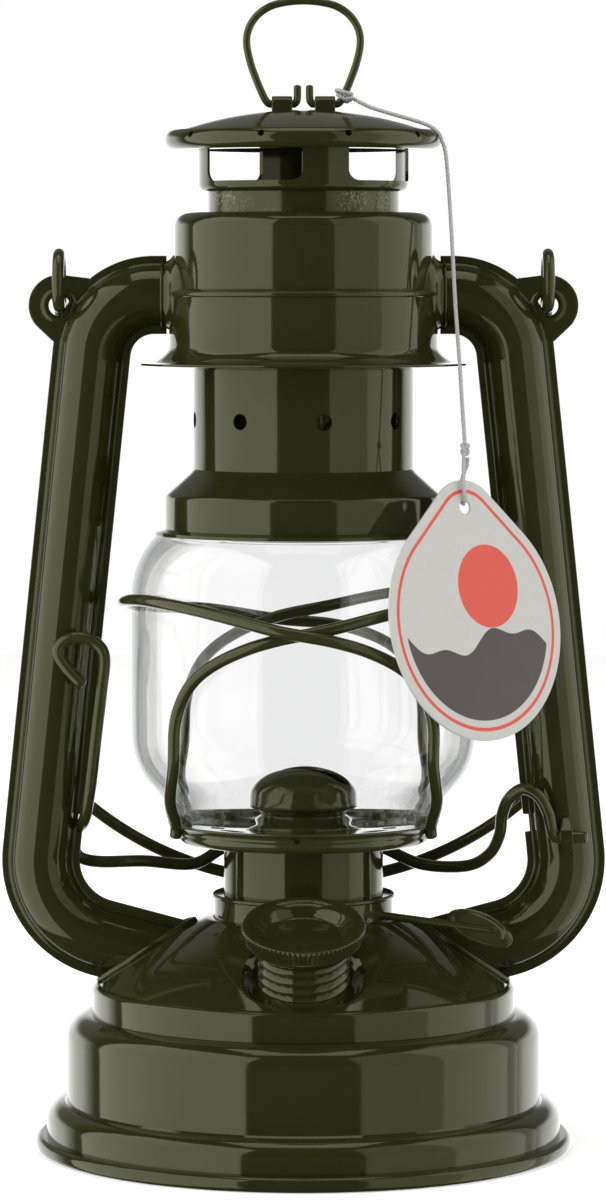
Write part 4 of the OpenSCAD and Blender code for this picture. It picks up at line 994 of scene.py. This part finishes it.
def globeProfile(look):
    r, z0, z1 = globeHigh[0], globeLow[2], globeHigh[2]
    foot = plateHigh[0] - look["footInset"]
    low, high = look["low"], look["high"]
    rise = high * np.sin(np.radians(look["highTurn"]))
    shape = np.vstack([[(foot, z0), (foot, z0 + look["footHeight"])],
                       arcPoints((r - low, z0 + look["lowRise"]), low, look["lowTurn"], 0, 30),
                       arcPoints((r - high, z1 - rise), high, 0, look["highTurn"], 30)])
    even, n = evenPath(shape, 0.25), look["blurReach"]
    width = np.exp(-0.5 * (np.arange(-n, n + 1) / look["blur"]) ** 2)
    padded = np.vstack([2 * even[:1] - even[n:0:-1], even, 2 * even[-1:] - even[-2:-n - 2:-1]])
    return np.stack([np.convolve(padded[:, k], width / width.sum(), "valid") for k in (0, 1)], 1)


# Half round from one point of a profile to another
def roundEdge(a, b):
    middle, half, out = (a + b) / 2, (b - a) / 2, np.array([(b - a)[1], -(b - a)[0]]) / 2
    t = np.radians(np.linspace(0, 180, 9)[1:-1])[:, None]
    return middle - half * np.cos(t) + globeShape["polish"] * out * np.sin(t)


outerGlass = globeProfile(globeShape)
glassSlope = unit(np.gradient(outerGlass, axis=0))
innerGlass = outerGlass + globeShape["wall"] * np.stack([-glassSlope[:, 1], glassSlope[:, 0]], 1)
glassRing = np.vstack([outerGlass, roundEdge(outerGlass[-1], innerGlass[-1]), innerGlass[::-1],
                       roundEdge(innerGlass[0], outerGlass[0])])
addGrid("glassGlobe", turnedGrid(glassRing, globeShape["columns"]), globeGlass, "globe", 80.0, wrapRows=True)

# Wick: flat strip of woven cotton, its rounded section lifted where warp and weft cross
wickLow, wickHigh = nodeBox("wick")
flatWick = {"width": 13.0, "thickness": 2.4, "turn": -15.0, "yarn": 0.95, "relief": 0.14, "shrink": 0.97,
            "step": 0.2, "rows": 330}


# Round section drawn towards a rectangle: a power of cosine and sine under 1, each with its sign
def squareRound(angle, power):
    return tuple(np.sign(f(angle)) * np.abs(f(angle)) ** power for f in (np.cos, np.sin))


def addWick(look):
    across, deep = squareRound(ringAngles(168), 0.4)
    outline = np.stack([look["width"] / 2 * across, look["thickness"] / 2 * deep], 1)
    around = evenPath(np.vstack([outline, outline[:1]]), look["step"])[:-1]
    z = np.linspace(wickLow[2], wickHigh[2], look["rows"])
    run = np.arange(len(around)) * look["step"]
    warp, weft = (np.sin(2 * np.pi * way / look["yarn"]) for way in (run, z))
    lift = look["relief"] * (warp[None, :] * weft[:, None] - 1)
    out = unit(around)
    raised = lift[..., None] * np.stack([out[:, 0] * 0.2, np.sign(out[:, 1])], 1)[None]
    flat = around[None] * look["shrink"] + raised
    grid = np.concatenate([flat, np.repeat(z[:, None, None], len(around), 1)], -1)
    addGrid("wovenWick", grid @ turnMatrix(0, 0, look["turn"]).T, cotton, "wick", 60.0, capEnds=True)


addWick(flatWick)
print("globe and wick made")

# Wick winder: shaft with three toothed wheels, and an oval dished key that its end lies in
shaftFoot, _ = jointPlace("wick_turn")
wickWinder = {"turn": -15.0, "dip": 5.5, "shaft": 2.0, "back": -6.0, "front": 51.0, "wheelRadius": 3.7,
              "tooth": 0.8, "teeth": 12, "wheelWidth": 1.2, "wheels": (-4.0, 0.0, 4.0), "keyCentre": 46.5,
              "keyLength": 18.0, "keyWidth": 8.0, "keyFace": 60.0, "keySlant": -17.0, "rim": 0.85,
              "floor": 0.35, "beadAt": 0.87, "beadWidth": 0.085, "roundFrom": 0.10, "thinnest": 0.03}


def onShaft(grid):
    return shaftFoot + grid @ (turnMatrix(0, 0, wickWinder["turn"]) @ turnMatrix(0, wickWinder["dip"], 0)).T


# The key's thickness over the share of the way out: a flat floor, a bead near the rim and a round edge
def addWinder(look):
    x = np.linspace(look["back"], look["front"], 60)
    addWire("winderShaft", onShaft(np.stack([x, 0 * x, 0 * x], 1)), look["shaft"], paintedLitWireEnamel, "wick_shaft")
    a = ringAngles(look["teeth"] * 12)
    edge = look["wheelRadius"] - look["tooth"] * (0.5 - 0.5 * np.cos(look["teeth"] * a))
    hub = np.full_like(a, look["shaft"] / 2)
    radius = np.stack([hub, edge, edge, hub])
    along = np.array([-0.5, -0.5, 0.5, 0.5])[:, None] * look["wheelWidth"] + 0 * a
    for i, at in enumerate(look["wheels"]):
        wheel = np.stack([at + along, radius * np.cos(a), radius * np.sin(a)], -1)
        addGrid("winderWheel%d" % (i + 1), onShaft(wheel), brass, "wick_shaft", wrapRows=True, replace=False,
                slot="burner_metal")
    front = np.concatenate([np.linspace(0, 0.96, 30), [0.985, 1.0]])
    share = np.concatenate([front, front[::-1]])[:, None]
    bead = np.exp(-((share - look["beadAt"]) / look["beadWidth"]) ** 2)
    thick = look["floor"] + (look["rim"] - look["floor"]) * bead
    fall = np.sqrt(np.clip((1.0 - share) / look["roundFrom"], look["thinnest"], 1))
    face = np.repeat([1.0, -1.0], len(front))[:, None]
    a = ringAngles(120)
    long, wide = look["keyLength"] / 2 * share * np.cos(a), look["keyWidth"] / 2 * share * np.sin(a)
    key = np.stack([long, wide, face * thick * fall + 0 * a], -1)
    key = key @ (turnMatrix(look["keyFace"], 0, 0) @ turnMatrix(0, 0, look["keySlant"])).T
    addGrid("winderKey", onShaft(key + look["keyCentre"] * axisX), paintedLitWireEnamel, "wick_shaft", 60.0, merge=True,
            replace=False)


addWinder(wickWinder)
print("winder made")

# Hood: rolled rim with air holes, a crease and a low dome, and two knuckles for the ring;
# crease and back are (inside the rim, over the rim's foot)
hoodLow, hoodHigh = nodeBox("hood_cap")
crownLow, crownHigh = nodeBox("hood_crown")
hoodShape = {"rise": 9.9, "sheet": 0.8, "rim": 2.5, "bulge": 1.3, "dome": (4.6, 5.2), "under": (4.6, 4.1),
             "crease": [(3.1, 4.86), (3.8, 4.9)], "seat": 0.1, "columns": 180,
             "back": [(2.7, 3.6), (1.3, 2.9), (0.85, 2.0), (1.5, 1.1), (2.5, 0.8)],
             "holes": 10, "firstHole": -17.5, "hole": 0.85, "holeRise": 3.15, "holeTilt": 20.0,
             "holeInset": 1.2, "drill": (-0.9, 2.6)}
ringKnuckle = {"length": 5.1, "x": 5.3, "radius": 1.95, "bore": 1.02, "edge": 0.3, "ease": 0.3, "sink": 0.6}


def hoodProfile(look):
    r, z, peak, t = hoodHigh[0], hoodLow[2], hoodLow[2] + look["rise"], look["sheet"]
    lip = crownHigh[0] + look["seat"]

    def inward(points):
        return np.array([r, z]) + np.array(points) * np.array([-1.0, 1.0])

    rim = arcPoints((r - look["rim"], z + look["rim"]), look["rim"], -90, 72, 20)
    dome = bulgeArc(inward(look["dome"]), (0.0, peak), look["bulge"], 40)
    crease = smoothPath(np.vstack([rim[-1:], inward(look["crease"]), dome[:1]]), 5)[1:-1]
    inner = bulgeArc(inward(look["under"]), (0.0, peak - t), look["bulge"], 24)[::-1]
    return np.vstack([[(lip, z)], rim, crease, dome, inner, inward(look["back"]), [(lip, z + t)]])


def addHood(look):
    tilt = np.radians(look["holeTilt"])
    ahead, up = np.array([np.cos(tilt), 0, np.sin(tilt)]), np.array([-np.sin(tilt), 0, np.cos(tilt)])
    centre = np.array([hoodHigh[0] - look["holeInset"], 0.0, hoodLow[2] + look["holeRise"]])
    tube = centre + prism(circlePoints(look["hole"], 24), axisY, up, ahead, *look["drill"])
    turns = [-90 + look["firstHole"] + 360 * i / look["holes"] for i in range(look["holes"])]
    addTurned("hoodShell", hoodProfile(look), look["columns"], "hood_cap", enamel, 40.0,
              [tube @ turnMatrix(0, 0, turn).T for turn in turns])


# Strap section: down the front, over the wire and down the back, its inside round the wire
def addKnuckles(look):
    r, bore, half, e = look["radius"], look["bore"], look["length"] / 2, look["edge"]
    foot = hoodLow[2] + hoodShape["rise"] - ringHinge[2] - look["sink"]
    outer = np.vstack([[(-r, foot)], arcPoints((0, 0), r, 180, 0, 25), [(r, foot)]])
    inner = np.vstack([[(bore, foot)], arcPoints((0, 0), bore, 0, 180, 19), [(-bore, foot)]])
    section = np.vstack([outer, inner])
    inset = np.vstack([outer * (1 - e / r), inner * (1 + e / r)])
    inset[[0, len(outer) - 1, len(outer), -1], 1] = foot
    ease = look["ease"]
    eased = ease * inset + (1 - ease) * section
    along = np.array([-half, -half + e * ease, -half + e, half - e, half - e * ease, half])
    shapes = np.stack([inset, eased, section, section, eased, inset])
    for name, side in (("leftKnuckle", -1), ("rightKnuckle", 1)):
        x = side * look["x"] + along[:, None] + 0 * shapes[..., 0]
        grid = np.stack([x, shapes[..., 0], ringHinge[2] + shapes[..., 1]], -1)
        addGrid(name, grid, enamel, "hood_cap", 30.0, capEnds=True, replace=False)


addHood(hoodShape)
addKnuckles(ringKnuckle)
print("hood made")

# Air chamber: thin drip edge, flared up into the band, a bead, the upper band and a round shoulder
_, chamberHigh = nodeBox("chamber_shell")
floorLow, floorHigh = nodeBox("chamber_floor")
chamberShape = {"sheet": 0.8, "band": 33.3, "upper": 32.0, "flare": 4.4, "bead": 16.6, "beadRadius": 0.8,
                "round": 3.6, "edge": 0.35, "gap": 0.3, "flueRadius": 23.6, "tubeBore": 6.8, "floorLip": 3.0,
                "neck": 27.3, "columns": 200, "beadPlace": (-0.3, 0.8), "beadTop": 2.1, "hollow": 1.9,
                "beadFoot": 1.0, "flareTop": 0.5, "flareInside": 1.2, "dripWidth": 1.5, "dripEdge": 0.02,
                "hem": (0.12, 0.55), "hemWidth": 3.2, "hemRound": (0.1, 0.2)}


def chamberProfile(look):
    drip, z, lid, t = chamberHigh[0], floorLow[2] + look["sheet"], chamberHigh[2], look["sheet"]
    band, upper, bead, e = look["band"], look["upper"], z + look["bead"], look["round"]
    a = np.radians(np.linspace(0, 90, 18))
    rise = look["edge"] + look["flare"] * (1 - np.cos(a))
    flare = np.stack([drip - (drip - band) * np.sin(a), z + rise], 1)
    out, over = look["beadPlace"]
    roll = arcPoints((band + out, bead + over), look["beadRadius"], -68, 68, 12)
    shoulder = arcPoints((upper - e, lid - e), e, 0, 90, 20)
    hole = look["flueRadius"] + look["gap"]
    hollow, wide, sill = look["hollow"], look["flareInside"], z + look["dripEdge"]
    inside = [(hole, lid - t), (upper - e, lid - t), (upper - hollow, lid - hollow), (upper - t, lid - e),
              (upper - t, bead), (band - t, bead - look["beadFoot"]),
              (band - t, z + look["flare"] + look["flareTop"]), (band + wide, z + wide),
              (drip - look["dripWidth"], sill), (drip, sill)]
    return np.vstack([flare, roll, [(upper, bead + look["beadTop"])], shoulder, [(hole, lid)], inside])


def addChamber(look):
    reach = chamberHigh[0] + 5
    bore = tubeCentre * axisZ + prism(circlePoints(look["tubeBore"], 48), axisY, axisZ, axisX, -reach, reach)
    addTurned("chamberShell", chamberProfile(look), look["columns"], "chamber_shell", enamel, 40.0, [bore])
    drip, z, hole, t = floorHigh[0], floorLow[2], look["neck"] + look["gap"], look["sheet"]
    lip = z + t + look["floorLip"]
    (hem, rise), (first, second) = look["hem"], look["hemRound"]
    ring = [(drip - hem, z + rise), (drip - look["hemWidth"], z), (hole, z), (hole, lip), (hole + t, lip),
            (hole + t, z + t), (drip - hem, z + t), (drip, z + t - first), (drip, z + t - second)]
    addTurned("chamberFloor", ring, look["columns"], "chamber_floor", enamel, 40.0)


addChamber(chamberShape)

# Sockets: a beaded edge round each tube's end, flaring out into the chamber's wall
tubeSocket = {"edge": 35.3, "bead": 0.45, "bore": 7.45, "wall": 7.95, "end": 29.4, "mouth": 0.2,
              "columns": 96,
              "flare": [(34.6, 8.05), (33.8, 8.35), (33.0, 8.95), (32.2, 9.8), (31.0, 10.6), (29.6, 11.0)]}


def addSocket(name, node, side):
    look = tubeSocket
    bead = arcPoints((look["edge"] - look["bead"], look["wall"]), look["bead"], -20, 130, 10)
    ring = np.vstack([[(look["edge"] - look["mouth"], look["bore"])], bead, smoothPath(look["flare"], 4),
                      [(look["end"], look["bore"])]])
    y, z, x = np.moveaxis(turnedGrid(ring[:, ::-1], look["columns"]), -1, 0)
    addGrid(name, np.stack([side * x, y, tubeCentre + z], -1), enamel, node, 50.0, wrapRows=True)


addSocket("leftSocket", "left_socket", -1)
addSocket("rightSocket", "right_socket", 1)
print("chamber made")

# Crown: ring under the hood with four windows, its lower edge turned in to the flue
crownShape = {"sheet": 0.8, "round": 1.9, "leg": 11.4, "turn": 12.5, "windows": 4, "windowHeight": 8.1,
              "windowFoot": 2.6, "corner": 2.6, "topCorner": 0.4, "seat": 0.1, "columns": 180}


def addCrown(look):
    r, low, high, t, e = crownHigh[0], crownLow[2], crownHigh[2], look["sheet"], look["round"]
    hole = chamberShape["flueRadius"] + look["seat"]
    profile = np.vstack([[(hole, low)], arcPoints((r - e, low + e), e, -80, 0, 12),
                         [(r, high), (r - t, high)], arcPoints((r - e, low + e), e - t, 0, -70, 8),
                         [(hole, low + t)]])
    half = r * np.sin(np.pi / 4 - np.arcsin(look["leg"] / 2 / r))
    foot, top = low + look["windowFoot"], low + look["windowFoot"] + look["windowHeight"]
    c, k = look["corner"], look["topCorner"]
    shape = np.vstack([arcPoints((half - c, foot + c), c, -90, 0, 8),
                       arcPoints((half - k, top - k), k, 0, 90, 3),
                       arcPoints((k - half, top - k), k, 90, 180, 3),
                       arcPoints((c - half, foot + c), c, 180, 270, 8)])
    window = prism(shape, axisX, axisZ, axisY, -2.0 * r, -r / 2)
    turns = [look["turn"] + 45 + 90 * i for i in range(look["windows"])]
    addTurned("crownRing", profile, look["columns"], "hood_crown", enamel, 40.0,
              [window @ turnMatrix(0, 0, turn).T for turn in turns])


addCrown(crownShape)

# Globe plate: rolled rim over a rounded under-edge, a groove for the glass and a raised floor with slots
platePan = {"sheet": 0.8, "hole": 14.2, "floor": 3.0, "floorRadius": 28.2, "under": (26.8, 28.8, 31.8),
            "drop": 1.2, "step": 1.3, "lip": 1.6, "lipRound": 0.3, "floorEdge": 0.5, "holeEdge": 0.4,
            "slots": 10, "slotLength": 9.0, "slotWidth": 3.4, "slotRing": 21.3, "slotCut": (-2.0, 1.0),
            "pinHole": 0.75, "pinSide": -1.6, "pinRise": 2.3, "pinCut": (-1, 2), "columns": 200,
            "flareFoot": (-0.2, 0.5), "flare": [(0, -1.7), (0.5, -1.1)], "lipUnder": 0.75, "lipMiddle": 0.4,
            "rimInside": [(0, -0.3), (-0.5, -0.7)], "grooveInset": 0.95, "floorBend": 1.2, "skirtTop": 0.3,
            "skirtEnd": 0.8, "holeRim": 1.0}


def panProfile(look):
    r, low, high, t, hole = plateHigh[0], plateLow[2], plateHigh[2], look["sheet"], look["hole"]
    a, b, c = look["under"]
    drop, lip = look["drop"], r + look["lip"] - look["lipRound"]
    floor, e = low + look["floor"], look["floorEdge"]
    turn = np.radians(np.linspace(0, 90, 12))
    rise = (drop + look["step"]) * (1 - np.cos(turn))
    under = np.stack([b + (c - b) * np.sin(turn), low - drop + rise], 1)
    corner, (out, over) = np.array([r, high]), look["flareFoot"]
    flare = smoothPath(np.vstack([[(r + out, low + look["step"] + over)], corner + look["flare"],
                                  [(lip, high - look["lipUnder"])]]), 5)
    rim = np.vstack([flare, arcPoints((lip, high - look["lipMiddle"]), look["lipRound"], -70, 90, 9),
                     corner + look["rimInside"]])
    below = [(hole, floor - t), (a - look["floorBend"], floor - t), (a - look["skirtTop"], low),
             (a, low - drop * look["skirtEnd"])]
    groove = [(r - look["grooveInset"], low + t), (look["floorRadius"], low + t)]
    edge = arcPoints((look["floorRadius"] - e, floor - e), e, 0, 90, 6)
    mouth = arcPoints((hole + look["holeEdge"], floor - look["holeEdge"]), look["holeEdge"], 90, 180, 6)
    return np.vstack([below, under, rim, groove, edge, [(hole + look["holeRim"], floor)], mouth])


def addPan(look):
    floor = plateLow[2] + look["floor"]
    slot = slotShape(look["slotLength"], look["slotWidth"], 12) - np.array([0.0, look["slotRing"]])
    slot = prism(slot, axisX, axisY, axisZ, *(floor + np.array(look["slotCut"])))
    turns = [360 * (i + 0.5) / look["slots"] for i in range(look["slots"])]
    pin = circlePoints(look["pinHole"], 20) + np.array([look["pinSide"], plateLow[2] + look["pinRise"]])
    pin = prism(pin, axisX, axisZ, axisY, *(np.array(look["pinCut"]) - plateHigh[0]))
    addTurned("globePlatePan", panProfile(look), look["columns"], "globe_plate", paintedLitBurnerEnamel, 35.0,
              [slot @ turnMatrix(0, 0, turn).T for turn in turns] + [pin])


addPan(platePan)

# Burner dome: flared foot, waist and round cap, with the flame slot cut through its top
coneLow, coneHigh = nodeBox("burner_cone")
burnerDome = {"foot": 4.1, "waist": 6.2, "waistRadius": 10.7, "brow": 8.3, "crown": 9.2, "sheet": 0.8,
              "slotTurn": -20.0, "slotLength": 24.0, "slotWidth": 7.0, "slotCut": (1.0, 2.0), "columns": 160,
              "footRound": 0.9, "waistRise": (0.3, 0.9), "browInset": 0.35}


def domeProfile(look, t):
    r, low, high = coneHigh[0] - t, coneLow[2], coneHigh[2] - t
    foot, waist, crown = (low + look[key] for key in ("foot", "waist", "crown"))
    neck = look["waistRadius"] - t
    turn, (out, over) = look["footRound"], look["waistRise"]
    side = smoothPath([(r, low), (r, foot), (r - turn, foot + turn), (neck, waist),
                       (neck + out, waist + over), (r - look["browInset"], low + look["brow"]),
                       (r, crown)], 6)
    a = np.radians(np.linspace(0, 90, 30))[1:]
    return np.vstack([side, np.stack([r * np.cos(a), crown + (high - crown) * np.sin(a)], 1)])


def addBurnerDome(look):
    profile = np.vstack([domeProfile(look, 0.0), domeProfile(look, look["sheet"])[::-1]])
    low, high = coneLow[2] + look["crown"] + look["slotCut"][0], coneHigh[2] + look["slotCut"][1]
    slot = prism(slotShape(look["slotLength"], look["slotWidth"], 14), axisX, axisY, axisZ, low, high)
    addTurned("burnerDome", profile, look["columns"], "burner_cone", paintedLitBurnerEnamel, 35.0,
              [slot @ turnMatrix(0, 0, look["slotTurn"]).T])


addBurnerDome(burnerDome)

# Dome cover: seam bead, shallow groove and dome, pressed down in a cone-shaped valley round the filler
coverLow, coverHigh = nodeBox("tank_top")
domeCover = {"sheet": 0.8, "bead": 1.5, "groove": 0.5, "hole": 22.5, "valley": 12.4, "valleySlope": 1.5,
             "valleyDepth": 2.4, "valleyReach": 34, "valleyFade": 6, "valleyRim": 0.6, "valleyRise": 3,
             "blend": 0.5, "columns": 400, "wall": 2, "grooveInset": 0.3, "underLow": (-0.5, -0.7),
             "underHigh": (-0.3, -0.8)}


# A point's height along the filler's axis is held under a cone that opens upwards from the valley's floor
def pressValley(points, look, sink):
    rel = points - fillerFoot + sink * fillerUp
    h = rel @ fillerUp
    away = np.linalg.norm(rel - h[..., None] * fillerUp, axis=-1)
    spread = np.hypot(points[..., 0], points[..., 1])
    inside = domeArc["low"][0] - look["valleyRim"] - spread
    floor = look["valleyDepth"] * np.clip(inside / look["valleyRise"], 0, 1)
    cone = np.clip(away - look["valley"], 0, None) * look["valleySlope"] - floor
    held = (h + cone - np.sqrt((h - cone) ** 2 + look["blend"] ** 2)) / 2
    near = np.clip((look["valleyReach"] - away) / look["valleyFade"], 0, 1) * (points[..., 1] < 0)
    return points + (np.minimum(held - h, 0) * near)[..., None] * fillerUp


def addCover(look):
    r, low, e, t, hole = coverHigh[0], coverLow[2], look["bead"], look["sheet"], look["hole"]
    p, q = domeArc["low"], domeArc["high"]
    arc = bulgeArc(p, q, domeArc["bulge"], 90)
    outer = np.vstack([[(r, low), (r, low + look["wall"])], arcPoints((r - e, p[1] - e), e, 0, 90, 10),
                       [(r - e - look["grooveInset"], p[1] - look["groove"])], arc, [(hole, q[1])]])
    ends = np.array([p, q]) + [look["underLow"], look["underHigh"]]
    under = bulgeArc(*ends, domeArc["bulge"], 40)[::-1]
    inner = np.vstack([[(hole, q[1] - t)], under, [(r - t, p[1] - look["wall"]), (r - t, low)]])
    grid = np.concatenate([pressValley(turnedGrid(rows, look["columns"]), look, sink)
                           for rows, sink in ((outer, 0.0), (inner, t))])
    addGrid("domeCover", grid, enamel, "tank_top", 35.0, wrapRows=True)


addCover(domeCover)

# Lever strap: a narrow almond of sheet on the right tube, bowed out over the lever's pin
pinStrap = {"height": 10.0, "width": 3.4, "sheet": 0.7, "foot": 7.35, "crown": 11.4, "bowPower": 0.75,
            "tipWidth": 0.15, "tipRound": 0.98}


def addStrap(look):
    s = np.linspace(-1, 1, 41)
    bow = (0.5 + 0.5 * np.cos(np.pi * s)) ** look["bowPower"]
    y = -look["foot"] - (look["crown"] - look["foot"] - look["sheet"] / 2) * bow
    z = rightPivot[2] + look["height"] / 2 * s
    ahead = unit(np.gradient(np.stack([y, z], 1), axis=0))
    across, deep = squareRound(ringAngles(28)[None, :], 0.5)
    almond = look["tipWidth"] + (1 - look["tipWidth"]) * np.sqrt(1 - look["tipRound"] * s ** 2)
    across = look["width"] / 2 * almond[:, None] * across
    deep = look["sheet"] / 2 * deep
    grid = np.stack([rightPivot[0] + across, y[:, None] - deep * ahead[:, 1:],
                     z[:, None] + deep * ahead[:, :1]], -1)
    addGrid("leverStrap", grid, enamel, "lever_strap", 50.0, capEnds=True)


addStrap(pinStrap)
print("plate, cover and strap made")

# Pressed and turned pieces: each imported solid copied, welded and shaded smooth between its edges
dressed = {"tank_bottom": enamel, "tank_body": enamel, "tank_deck": enamel, "filler_gasket": sealRubber,
           "burner_collar": enamel, "burner_drum": enamel, "wick_tube": brass, "bell": enamel,
           "flue": wornEnamel}
for node in [n for n in nodes if n in dressed]:
    finishPiece(node + "Skin", weld(nodes[node].data.copy()), dressed[node], node, 30.0, turned=True)
print("solids dressed")


# Stage: pale floor, tall warm soft boxes beside the camera, as (azimuth, power, width), and a soft top light
lightSetup = {"boxDistance": 1.25, "boxHeight": 3.4, "boxRise": 0.45, "boxColor": (1.0, 0.985, 0.95),
              "boxes": {"softBoxLeft": (-71.0, 45.8, 2.4), "softBoxRight": (71.0, 19.6, 2.4),
                        "softBoxSide": (97.0, 8.5, 1.3)},
              "topPower": 4.0, "topSize": 0.9, "topPlace": (0.0, -0.1, 1.5), "dimWorld": 0.10,
              "wallGlow": 1.7, "floor": 1.6, "throughGlass": 0.985}


def addLight(name, power, place):
    data = bpy.data.lights.new(name, "AREA")
    data.energy = power
    lamp = bpy.data.objects.new(name, data)
    lamp.location = place
    scene.collection.objects.link(lamp)
    return lamp, data


def addLights(setup):
    far = setup["boxDistance"]
    for name, (azimuth, power, width) in setup["boxes"].items():
        turn = np.radians(azimuth)
        box, data = addLight(name, power, (np.sin(turn) * far, -np.cos(turn) * far, setup["boxRise"]))
        box.rotation_euler = (np.pi / 2, 0.0, turn)
        data.shape = "RECTANGLE"
        data.size, data.size_y = width, setup["boxHeight"]
        data.color = setup["boxColor"]
    _, data = addLight("softTop", setup["topPower"], setup["topPlace"])
    data.size = setup["topSize"]


addLights(lightSetup)


# Floor: white to the camera with the lantern's faint shadow; mirror and glass rays pass it and see the world
def addFloor(half):
    mesh = bpy.data.meshes.new("paleFloor")
    corners = [(-half, -half, 0), (half, -half, 0), (half, half, 0), (-half, half, 0)]
    mesh.from_pydata(corners, [], [(0, 1, 2, 3)])
    material, tree, shader = newMaterial("paleFloor")
    cloud = noiseNode(tree, objectCoords(tree), 40.0, 2.0)
    setInputs(tree, shader, {"Base Color": mixColor(tree, cloud, (0.88, 0.88, 0.88, 1), (0.9, 0.9, 0.9, 1)),
                             "Roughness": 0.9, "Specular IOR Level": 0.0})
    ray = tree.nodes.new("ShaderNodeLightPath").outputs
    glow = mathNode(tree, "MULTIPLY", ray["Is Camera Ray"], 0.5)
    glow = addNode(tree, "ShaderNodeEmission", {"Color": (1, 1, 1, 1), "Strength": glow})
    lit = addNode(tree, "ShaderNodeAddShader", {0: shader.outputs[0], 1: glow.outputs[0]})
    mixSurface(tree, ray["Is Glossy Ray"], lit, tree.nodes.new("ShaderNodeBsdfTransparent"))
    mesh.materials.append(material)
    floor = bpy.data.objects.new("paleFloor", mesh)
    scene.collection.objects.link(floor)


addFloor(lightSetup["floor"])


# World: white to the camera and through glass; reflections see a white wall behind between dim sides,
# fainter in glass than in enamel
def buildWorld(setup):
    world = bpy.data.worlds.new("studio")
    scene.world = world
    world.use_nodes = True
    tree = world.node_tree
    ray = tree.nodes.new("ShaderNodeLightPath").outputs
    sky = tree.nodes.new("ShaderNodeTexCoord").outputs["Generated"]
    axes = addNode(tree, "ShaderNodeSeparateXYZ", {0: sky}).outputs
    wall = rangeNode(tree, axes["Y"], 0.52, 0.7, setup["dimWorld"], setup["wallGlow"])
    low = rangeNode(tree, axes["Z"], 0.10, 0.24, 1.0, 0.12)
    sharp = rangeNode(tree, ray["Is Singular Ray"], 0.0, 1.0, 1.0, 0.3)
    glossy = mathNode(tree, "MULTIPLY", wall, low, ray["Is Glossy Ray"], sharp)
    glass = mathNode(tree, "MULTIPLY", ray["Is Transmission Ray"], setup["throughGlass"])
    diffuse = mathNode(tree, "MULTIPLY", ray["Is Diffuse Ray"], setup["dimWorld"] * 3)
    strength = mathNode(tree, "MAXIMUM", ray["Is Camera Ray"], glossy, glass, diffuse)
    setInputs(tree, tree.nodes["Background"], {"Strength": strength, "Color": (1, 1, 1, 1)})


buildWorld(lightSetup)
scene.view_settings.view_transform = "Standard"
print("stage set")
